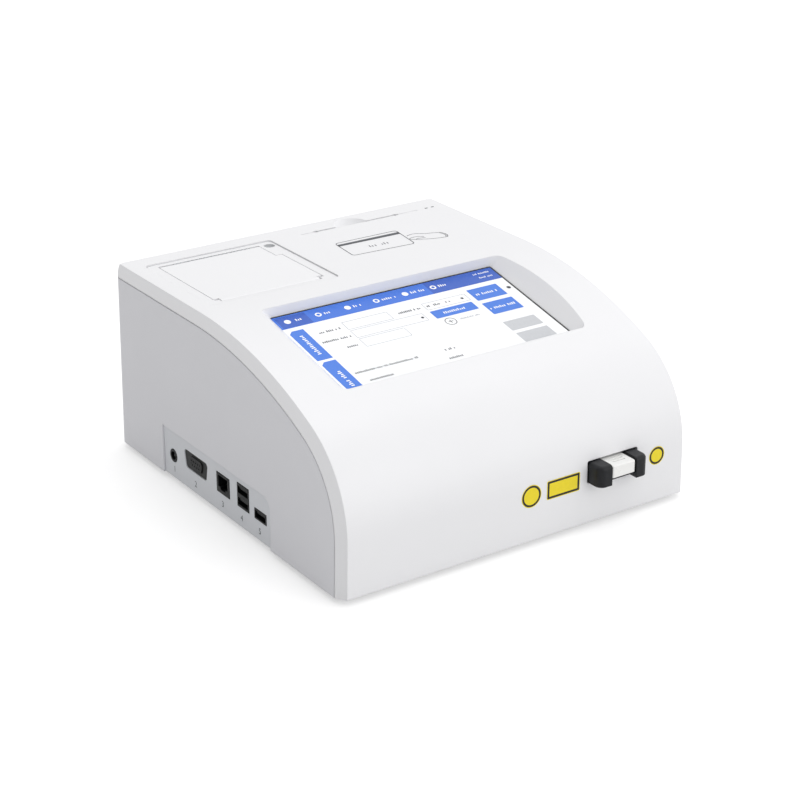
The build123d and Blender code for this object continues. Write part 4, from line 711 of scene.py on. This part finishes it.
@dataclass
class Screen:
    """The picture that the display shows: a plain menu with no words."""

    tilt: float = math.radians(12.05)
    wide: float = 176.0
    long: float = 99.5
    border: float = 1.3
    rear_depth: float = 156.2
    drop: float = 7.4
    bar_height: float = 16.0
    closer: float = 0.95
    bar_lift: float = 0.08
    dot_lift: float = 0.12
    corner: float = 0.8
    page: InkFinish = InkFinish("screen_page", srgb("FAFBFD"), 0.22, 0.06)
    bar: InkFinish = InkFinish("screen_bar", srgb("3A74DC"), 0.22, 0.03)
    bar_dark: InkFinish = InkFinish("screen_bar_dark", srgb("2C5CC0"), 0.22, 0.03)
    key: InkFinish = InkFinish("screen_key", srgb("3F7BE0"), 0.22, 0.03)
    grey: InkFinish = InkFinish("screen_grey", srgb("C9CBCF"), 0.22, 0.03)
    pale: InkFinish = InkFinish("screen_pale", srgb("FFFFFF"), 0.22, 0.06)
    line: InkFinish = InkFinish("screen_line", srgb("B4B8BF"), 0.22, 0.03)
    dark: InkFinish = InkFinish("screen_dark", srgb("3A3D44"), 0.22, 0.02)

    # The bar: its chosen part, the start of its darker end, and each icon's place and row length. The icon's
    # own row starts to the right of its place, and its seed grows by one from icon to icon.
    chosen: Box = Box(1.5, 15.4, 24.0, 2.2)
    dark_from: float = 118.0
    icon_middle: float = 8.6
    icon_radius: float = 2.3
    icon_hole: float = 1.2
    icon_row: MarkRow = MarkRow(4.4, 9.8, 0.0, 3, 2.6)
    icons: Tuple[Point, ...] = ((8.2, 7.5), (31.5, 6.0), (54.0, 8.0), (76.5, 12.0), (99.5, 12.0),
                                (122.2, 7.5))
    bar_rows: Tuple[MarkRow, ...] = (MarkRow(157.5, 6.2, 14.0, 11, 1.8), MarkRow(159.5, 11.2, 12.0, 12, 1.8))

    # The tabs at the left, with one corner cut off, and the upright row on each, measured from its foot.
    tabs: Tuple[Box, ...] = (Box(1.5, 59.0, 13.0, 20.0), Box(1.5, 103.9, 13.0, 61.0))
    tab_gap: float = 0.6
    tab_cut: float = 3.0
    tab_row: MarkRow = MarkRow(8.6, 7.0, 25.0, 21, 3.0)

    # The form: framed boxes, rows of marks and dots.
    frames: Tuple[Box, ...] = (Box(40, 33, 75, 23.2), Box(40, 44, 96, 34.5), Box(40, 56, 75, 45.5),
                               Box(102, 33, 137, 24))
    frame_width: float = 0.35
    frame_corner: float = 0.6
    rows: Tuple[MarkRow, ...] = (
        MarkRow(20, 30.0, 17, 31), MarkRow(16, 41.2, 22, 32), MarkRow(28, 52.4, 9.5, 33),
        MarkRow(80, 29.4, 20, 34), MarkRow(104, 29.4, 20, 35), MarkRow(16, 81.6, 49, 36),
        MarkRow(84.5, 81.4, 8.5, 37), MarkRow(20.5, 92.4, 18.5, 38), MarkRow(81.5, 91.4, 11, 39))
    dots: Tuple[Point, ...] = ((93.5, 39.4), (132.5, 28.6))
    dot_radius: float = 1.1

    # The keys and their rows.
    keys: Tuple[Box, ...] = (Box(101.8, 44.8, 135.8, 35.0), Box(140.8, 36.2, 165.5, 21.0),
                             Box(140.8, 55.6, 165.5, 40.2))
    grey_keys: Tuple[Box, ...] = (Box(140.0, 78.5, 165.5, 66.5), Box(140.0, 94.0, 165.5, 82.0))
    key_rows: Tuple[MarkRow, ...] = (MarkRow(110, 41.2, 18, 41, 2.6), MarkRow(144, 30.0, 18, 42, 2.6),
                                     MarkRow(142.5, 49.4, 21, 43, 2.6))

    # The ringed plus below the first key, its row, and the round mark at the right.
    plus: Point = (108.5, 51.2)
    plus_ring: Point = (4.2, 3.7)
    plus_arm: float = 1.9
    plus_width: float = 0.5
    plus_row: MarkRow = MarkRow(116, 52, 16, 44, 1.6)
    round_mark: Tuple[float, float, float] = (171.2, 29.0, 1.6)

    def art(self) -> FlatArt:
        """Plane of the glass, with u and v from its front left corner."""
        up = Vector((0, math.cos(self.tilt), math.sin(self.tilt)))
        rear = Vector((0, at_depth(self.rear_depth), CASE_TOP - self.drop * MM))
        origin = rear - up * self.long * MM - Vector((self.wide / 2 * MM, 0, 0))
        return FlatArt(origin, Vector((1, 0, 0)), up)

    def down(self, y: float) -> float:
        """Height in the view of a distance from its rear edge; rows below the bar stand a little closer."""
        return self.long - min(y, self.bar_height) - max(0.0, y - self.bar_height) * self.closer

    def corners(self, box: Box) -> Tuple[Point, Point]:
        """Lower left and upper right corner of a box in the plane."""
        return (box.left, self.down(box.bottom)), (box.right, self.down(box.top))

    def row(self, art: FlatArt, row: MarkRow, ink: InkFinish, height: float = MARK_LIFT) -> None:
        """Add a row of marks."""
        art.dashes((row.left, self.down(row.bottom)), row.length, row.tall, ink, row.seed, False, height)

    def draw_bar(self, art: FlatArt) -> None:
        """Add the page, the bar, its icons and its rows."""
        end = (self.wide - self.border, self.long - self.border)
        foot = self.down(self.bar_height)
        art.panel((0, 0), end, self.page, 0, PRINT_LIFT)
        art.panel((0, foot), end, self.bar, 0, self.bar_lift)
        art.panel(*self.corners(self.chosen), self.bar_dark, 0.5)
        art.panel((self.dark_from, foot), end, self.bar_dark)
        for k, (x, length) in enumerate(self.icons):
            hole = self.icon_hole if k % 2 else 0.0
            art.disc((x, self.down(self.icon_middle)), self.icon_radius, self.pale, ICON_LIFT, hole)
            row = MarkRow(x + self.icon_row.left, self.icon_row.bottom, length, k + self.icon_row.seed,
                          self.icon_row.tall)
            self.row(art, row, self.pale, ICON_LIFT)
        for row in self.bar_rows:
            self.row(art, row, self.pale, ICON_LIFT)

    def draw_tabs(self, art: FlatArt) -> None:
        """Add the tabs: five corners each, one of them cut, with an upright row."""
        for k, tab in enumerate(self.tabs):
            (left, bottom), (right, crest) = self.corners(tab)
            foot = bottom + self.tab_gap
            points = [(left, foot), (right, foot), (right, crest), (left + self.tab_cut, crest),
                      (left, crest - self.tab_cut)]
            art.add(np.array(points), [range(5)], KEY_LIFT, self.key)
            row = self.tab_row
            art.dashes((row.left, bottom + row.bottom), row.length, row.tall, self.pale, row.seed + k, True,
                       ICON_LIFT)

    def draw_form(self, art: FlatArt) -> None:
        """Add the framed boxes, the rows of marks and the dots."""
        for box in self.frames:
            art.frame(*self.corners(box), self.frame_width, self.line, self.frame_corner)
        for row in self.rows:
            self.row(art, row, self.dark)
        for x, y in self.dots:
            art.disc((x, self.down(y)), self.dot_radius, self.dark, self.dot_lift)

    def draw_keys(self, art: FlatArt) -> None:
        """Add the blue and grey keys with their rows."""
        for boxes, ink in ((self.keys, self.key), (self.grey_keys, self.grey)):
            for box in boxes:
                art.panel(*self.corners(box), ink, self.corner)
        for row in self.key_rows:
            self.row(art, row, self.pale)

    def draw_plus(self, art: FlatArt) -> None:
        """Add the ringed plus with its row, and the round mark."""
        x, y = self.plus
        art.disc((x, self.down(y)), self.plus_ring[0], self.dark, KEY_LIFT, self.plus_ring[1])
        art.line((x - self.plus_arm, self.down(y)), (x + self.plus_arm, self.down(y)), self.plus_width,
                 self.dark)
        art.line((x, self.down(y + self.plus_arm)), (x, self.down(y - self.plus_arm)), self.plus_width,
                 self.dark)
        self.row(art, self.plus_row, self.line)
        x, y, radius = self.round_mark
        art.disc((x, self.down(y)), radius, self.dark)

    def build(self, shop: Workshop) -> None:
        """Draw bars, keys, boxes and rows of marks."""
        art = self.art()
        for draw in (self.draw_bar, self.draw_tabs, self.draw_form, self.draw_keys, self.draw_plus):
            draw(art)
        art.build("screen_picture", "case", shop)


@dataclass
class TopPrint:
    """Line drawing of a card and a pointing hand beside the card slot.

    The card has its own points; those of the hand are X and depth on the flat top, in millimetres.
    """

    ink: InkFinish = InkFinish("grey_print", srgb("4B4E54"), 0.5)
    card: Point = (52.0, 30.0)
    corners: Tuple[Point, ...] = ((10.8, 209.8), (61.1, 207.0), (65.7, 238.4), (13.8, 238.4))
    line: float = 0.7
    radii: Point = (3.0, 2.4)
    stripe: Tuple[Point, Point] = ((0.2, 22.4), (51.8, 26.2))
    mark_low: float = 9.5
    mark_wide: float = 0.8
    marks: Tuple[Point, ...] = ((19.5, 3.6), (21.5, 2.4), (24.0, 3.0), (29.5, 2.2), (31.6, 3.6), (34.0, 2.8))
    hand_line: float = 0.6
    hand: Tuple[Tuple[Point, Point, Point], ...] = (
        ((65.0, 223.5), (72.0, 227.5), (78.0, 221.0)), ((78.0, 221.0), (84.0, 219.5), (89.0, 217.0)),
        ((62.8, 217.5), (70.0, 221.0), (74.5, 216.0)), ((62.5, 216.0), (67.0, 213.0), (71.0, 211.5)),
        ((71.0, 211.5), (78.0, 207.5), (88.0, 206.5)), ((66.5, 214.2), (70.0, 215.8), (74.0, 213.4)),
        ((89.0, 217.0), (92.5, 211.0), (88.0, 206.5)), ((88.0, 216.6), (91.0, 211.4), (87.2, 207.2)))
    curve_steps: int = 14
    slot_dashes: Tuple[Tuple[Point, Point], ...] = (((111.5, 267.4), (114.1, 268.8)),
                                                    ((117.0, 267.4), (119.6, 268.8)))

    def skewed(self, plane: np.ndarray) -> np.ndarray:
        """Place the card's own points on the top.

        Formula: the first corner, plus the share across along one side and the share up along the other,
        bilinear between the four corners.

        Args:
            plane: N by 2 array of the card's own points.

        Returns:
            N by 2 array of points on the top.
        """
        a, b, c, d = (np.array(p) for p in self.corners)
        u, v = plane[:, :1] / self.card[0], plane[:, 1:] / self.card[1]
        return (1 - u) * (1 - v) * a + u * (1 - v) * b + u * v * c + (1 - u) * v * d

    def block(self, art: FlatArt, low: Point, high: Point) -> None:
        """Add a filled rectangle of the card."""
        points = np.array([low, (high[0], low[1]), high, (low[0], high[1])])
        art.add(self.skewed(points), [(0, 1, 2, 3)], PRINT_LIFT, self.ink)

    def curve(self, a: Point, b: Point, c: Point) -> np.ndarray:
        """Points of a quadratic curve: (1-t)^2 a + 2 t (1-t) b + t^2 c."""
        t = np.linspace(0, 1, self.curve_steps)[:, None]
        return (1 - t) ** 2 * np.array(a) + 2 * t * (1 - t) * np.array(b) + t ** 2 * np.array(c)

    def build(self, shop: Workshop) -> None:
        """Draw the card, its stripe and the hand on the flat top."""
        art = FlatArt(Vector((0, FRONT_Y, CASE_TOP)), Vector((1, 0, 0)), Vector((0, 1, 0)))
        inside = (self.card[0] - self.line, self.card[1] - self.line)
        outer = rounded_outline((0, 0), self.card, self.radii[0])
        inner = rounded_outline((self.line, self.line), inside, self.radii[1])
        art.strip(self.skewed(outer), self.skewed(inner), PRINT_LIFT, self.ink)
        self.block(art, *self.stripe)
        for x, tall in self.marks:
            self.block(art, (x, self.mark_low), (x + self.mark_wide, self.mark_low + tall))
        for points in self.hand:
            art.route(self.curve(*points), self.hand_line, self.ink, PRINT_LIFT)
        for low, high in self.slot_dashes:
            art.panel(low, high, self.ink, 0.4, PRINT_LIFT)
        art.build("card_drawing", "case", shop)


@dataclass
class FrontLabels:
    """Plain labels of the front: a framed rectangle and two ringed discs, all without marks.

    Places are X and height in millimetres.
    """

    yellow: InkFinish = InkFinish("label_yellow", srgb("F2DC1E"), 0.4)
    black: InkFinish = InkFinish("label_black", srgb("1C1C1A"), 0.45)
    low: Point = (18.2, 29.0)
    high: Point = (44.7, 42.1)
    corner: float = 1.0
    margin: float = 0.5
    frame_width: float = 1.5
    frame_corner: float = 0.7
    discs: Tuple[Tuple[float, float, float], ...] = ((6.0, 35.2, 7.3), (108.6, 36.6, 6.0))
    ring_width: float = 1.4
    paper_lift: float = 0.04
    ink_lift: float = 0.07

    def build(self, shop: Workshop) -> None:
        """Draw the three labels on the upright front."""
        art = FlatArt(Vector((0, FRONT_Y, 0)), Vector((1, 0, 0)), Vector((0, 0, 1)))
        art.panel(self.low, self.high, self.yellow, self.corner, self.paper_lift)
        low = (self.low[0] + self.margin, self.low[1] + self.margin)
        high = (self.high[0] - self.margin, self.high[1] - self.margin)
        art.frame(low, high, self.frame_width, self.black, self.frame_corner, self.ink_lift)
        for x, z, radius in self.discs:
            art.disc((x, z), radius + self.margin, self.yellow, self.paper_lift)
            art.disc((x, z), radius, self.black, self.ink_lift, radius - self.ring_width)
        art.build("front_labels", "case", shop)


@dataclass
class PortNumbers:
    """Plain numbers under the side sockets."""

    depths: Tuple[float, ...] = (207.6, 178.7, 142.9, 118.5, 96.0)
    raised: float = 10.5
    tall: float = 6.0
    lift: float = 0.04
    ink: InkFinish = InkFinish("number_print", srgb("3A3D43"), 0.5)

    def digit(self, number: int) -> bpy.types.Mesh:
        """Mesh of a number, flat and centred at the origin.

        Args:
            number: the number.

        Returns:
            The mesh, made from a text that is removed again.
        """
        curve = bpy.data.curves.new(f"port_number_{number}", "FONT")
        curve.body = str(number)
        curve.size = self.tall * MM
        curve.align_x = "CENTER"
        curve.align_y = "CENTER"
        text = bpy.data.objects.new("number_curve", curve)
        bpy.context.scene.collection.objects.link(text)
        bpy.context.view_layer.update()
        mesh = bpy.data.meshes.new_from_object(text)
        bpy.data.objects.remove(text)
        return mesh

    def build(self, shop: Workshop) -> None:
        """Place each number on the port plate, facing left."""
        turn = Matrix(((0, 0, -1), (-1, 0, 0), (0, 1, 0))).to_4x4()
        for number, depth in enumerate(self.depths, start=1):
            mesh = self.digit(number)
            turn.translation = Vector((PORT_PLATE_X - self.lift * MM, at_depth(depth), self.raised * MM))
            mesh.transform(turn)
            mesh.materials.clear()
            mesh.materials.append(shop.material(self.ink))
            piece = bpy.data.objects.new(f"port_number_{number}", mesh)
            bpy.context.scene.collection.objects.link(piece)
            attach(piece, "case")
            LOG.info("port_number_%d on case", number)


@dataclass
class Dressing:
    """Smooth shading and finishes of the pieces that come from the frame."""

    angle: float = math.radians(28.0)
    join_distance: float = 0.000001

    def smoother(self) -> bpy.types.NodeTree:
        """Geometry nodes that join the loose triangles and shade them smooth up to an angle.

        Returns:
            The node group.
        """
        tree = bpy.data.node_groups.new("smooth_joined", "GeometryNodeTree")
        tree.interface.new_socket("Geometry", in_out="INPUT", socket_type="NodeSocketGeometry")
        tree.interface.new_socket("Geometry", in_out="OUTPUT", socket_type="NodeSocketGeometry")
        start, end = tree.nodes.new("NodeGroupInput"), tree.nodes.new("NodeGroupOutput")
        merge = tree.nodes.new("GeometryNodeMergeByDistance")
        merge.inputs["Distance"].default_value = self.join_distance
        faces = tree.nodes.new("GeometryNodeSetShadeSmooth")
        edges = tree.nodes.new("GeometryNodeSetShadeSmooth")
        edges.domain = "EDGE"
        edges.inputs["Shade Smooth"].default_value = False
        angle = tree.nodes.new("GeometryNodeInputMeshEdgeAngle")
        sharp = tree.nodes.new("FunctionNodeCompare")
        sharp.operation = "GREATER_THAN"
        sharp.inputs["B"].default_value = self.angle
        for a, b in ((start.outputs[0], merge.inputs["Geometry"]),
                     (merge.outputs[0], faces.inputs["Geometry"]),
                     (faces.outputs[0], edges.inputs["Geometry"]), (edges.outputs[0], end.inputs[0]),
                     (angle.outputs["Unsigned Angle"], sharp.inputs["A"]),
                     (sharp.outputs[0], edges.inputs["Selection"])):
            tree.links.new(a, b)
        return tree

    def dress(self, nodes: Dict[str, bpy.types.Object], shop: Workshop) -> None:
        """Give each node its finish and the smooth shading.

        Args:
            nodes: objects of the frame by name.
            shop: keeper of the materials.
        """
        tree = self.smoother()
        for name, piece in nodes.items():
            piece.data.materials.clear()
            piece.data.materials.append(shop.material(NODE_FINISHES[name]))
            modifier = piece.modifiers.new("smooth", "NODES")
            modifier.node_group = tree
            LOG.info("%s: %s", name, NODE_FINISHES[name].name)


@dataclass(frozen=True)
class Lamp:
    """A square lamp that points at the object."""

    name: str
    place: Tuple[float, float, float]
    size: float
    power: float

    def build(self, target: Vector) -> None:
        """Add the lamp, turned to the target."""
        data = bpy.data.lights.new(self.name, "AREA")
        data.size = self.size
        data.energy = self.power
        lamp = bpy.data.objects.new(self.name, data)
        bpy.context.scene.collection.objects.link(lamp)
        lamp.location = self.place
        lamp.rotation_mode = "QUATERNION"
        lamp.rotation_quaternion = (target - Vector(self.place)).to_track_quat("-Z", "Y")


@dataclass
class Studio:
    """Pale floor, soft lamps and the camera at the photograph's viewing angle."""

    azimuth: float = math.radians(34.306)
    elevation: float = math.radians(23.311)
    distance: float = 1.378449
    across: float = 0.003472
    raised: float = 0.047555
    centre_y: float = 0.006
    focal_pixels: float = 2017.279
    picture_pixels: float = 800.0
    sensor: float = 36.0
    clip: Point = (0.05, 50.0)
    lift: float = -0.00085
    level: float = 0.72
    slope: Sequence[float] = (0.30, -0.06, 0.20)
    haze: float = 0.45
    floor_half: float = 9.0
    floor_tones: Tuple[Colour, Colour] = ((0.70, 0.70, 0.70), (0.72, 0.72, 0.72))
    target: Tuple[float, float, float] = (0.0, 0.0, 0.05)
    lamps: Tuple[Lamp, ...] = (Lamp("overhead", (0.35, 0.35, 1.6), 1.4, 5.0),
                               Lamp("front", (0.5, -1.6, 0.6), 1.2, 5.0))

    def camera(self) -> None:
        """Place the camera: middle of the case plus the distance along its back direction."""
        cos_e, sin_e = math.cos(self.elevation), math.sin(self.elevation)
        back = Vector((-math.sin(self.azimuth) * cos_e, -math.cos(self.azimuth) * cos_e, sin_e))
        right = (-back).cross(Vector((0, 0, 1))).normalized()
        up = right.cross(-back)
        data = bpy.data.cameras.new("camera")
        data.lens = self.focal_pixels * self.sensor / self.picture_pixels
        data.sensor_width = self.sensor
        data.shift_y = self.lift
        data.clip_start, data.clip_end = self.clip
        camera = bpy.data.objects.new("camera", data)
        bpy.context.scene.collection.objects.link(camera)
        turn = Matrix((right, up, back)).transposed().to_4x4()
        centre = Vector((0, self.centre_y, 0))
        turn.translation = back * self.distance + right * self.across + up * self.raised + centre
        camera.matrix_world = turn
        bpy.context.scene.camera = camera

    def world(self) -> None:
        """Light from all around that falls off towards the left, white where the camera sees it.

        Formula of its strength: level + slope . direction, so that a surface gets level + 2/3 slope . normal.
        """
        world = bpy.data.worlds.new("studio")
        world.use_nodes = True
        bpy.context.scene.world = world
        tree = world.node_tree
        sky = tree.nodes["Background"]
        sky.inputs["Color"].default_value = (1, 1, 1, 1)
        direction = tree.nodes.new("ShaderNodeTexCoord")
        slope = tree.nodes.new("ShaderNodeVectorMath")
        slope.operation = "DOT_PRODUCT"
        slope.inputs[1].default_value = self.slope
        strength = tree.nodes.new("ShaderNodeMath")
        strength.operation = "ADD"
        strength.inputs[1].default_value = self.level
        tree.links.new(direction.outputs["Object"], slope.inputs[0])
        tree.links.new(slope.outputs["Value"], strength.inputs[0])
        tree.links.new(strength.outputs[0], sky.inputs["Strength"])
        path = tree.nodes.new("ShaderNodeLightPath")
        seen = tree.nodes.new("ShaderNodeBackground")
        seen.inputs["Color"].default_value = (1, 1, 1, 1)
        mix = tree.nodes.new("ShaderNodeMixShader")
        tree.links.new(path.outputs["Is Camera Ray"], mix.inputs["Fac"])
        tree.links.new(sky.outputs[0], mix.inputs[1])
        tree.links.new(seen.outputs[0], mix.inputs[2])
        tree.links.new(mix.outputs[0], tree.nodes["World Output"].inputs["Surface"])

    def floor(self) -> None:
        """Wide pale floor that keeps the object's shadow."""
        mesh = bpy.data.meshes.new("floor")
        size = self.floor_half
        corners = [(-size, -size, 0), (size, -size, 0), (size, size, 0), (-size, size, 0)]
        mesh.from_pydata(corners, [], [(0, 1, 2, 3)])
        floor = bpy.data.objects.new("floor", mesh)
        bpy.context.scene.collection.objects.link(floor)
        shader = Shader("studio_floor")
        tone = shader.ramp(shader.noise(3.0), *self.floor_tones)
        shader.link(tone, shader.surface.inputs["Base Color"])
        shader.surface.inputs["Roughness"].default_value = 0.9
        shader.surface.inputs["Specular IOR Level"].default_value = 0.1
        shader.surface.inputs["Emission Color"].default_value = (1, 1, 1, 1)
        seen = shader.node("ShaderNodeMath", operation="MULTIPLY")
        seen.inputs[1].default_value = self.haze
        shader.link(shader.node("ShaderNodeLightPath").outputs["Is Camera Ray"], seen.inputs[0])
        shader.link(seen.outputs["Value"], shader.surface.inputs["Emission Strength"])
        mesh.materials.append(shader.material)

    def build(self) -> None:
        """Set up camera, floor, world and lamps."""
        scene = bpy.context.scene
        scene.view_settings.view_transform = "Standard"
        self.camera()
        self.world()
        self.floor()
        for lamp in self.lamps:
            lamp.build(Vector(self.target))


def main() -> None:
    """Build the dressed analyzer."""
    logging.basicConfig(level=logging.INFO, format="%(name)s %(message)s")
    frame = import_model()
    shop = Workshop()
    Dressing().dress(frame["nodes"], shop)
    for assembly in (Screen(), TopPrint(), FrontLabels(), PortNumbers()):
        assembly.build(shop)
    Studio().build()


if __name__ == "__main__":
    main()
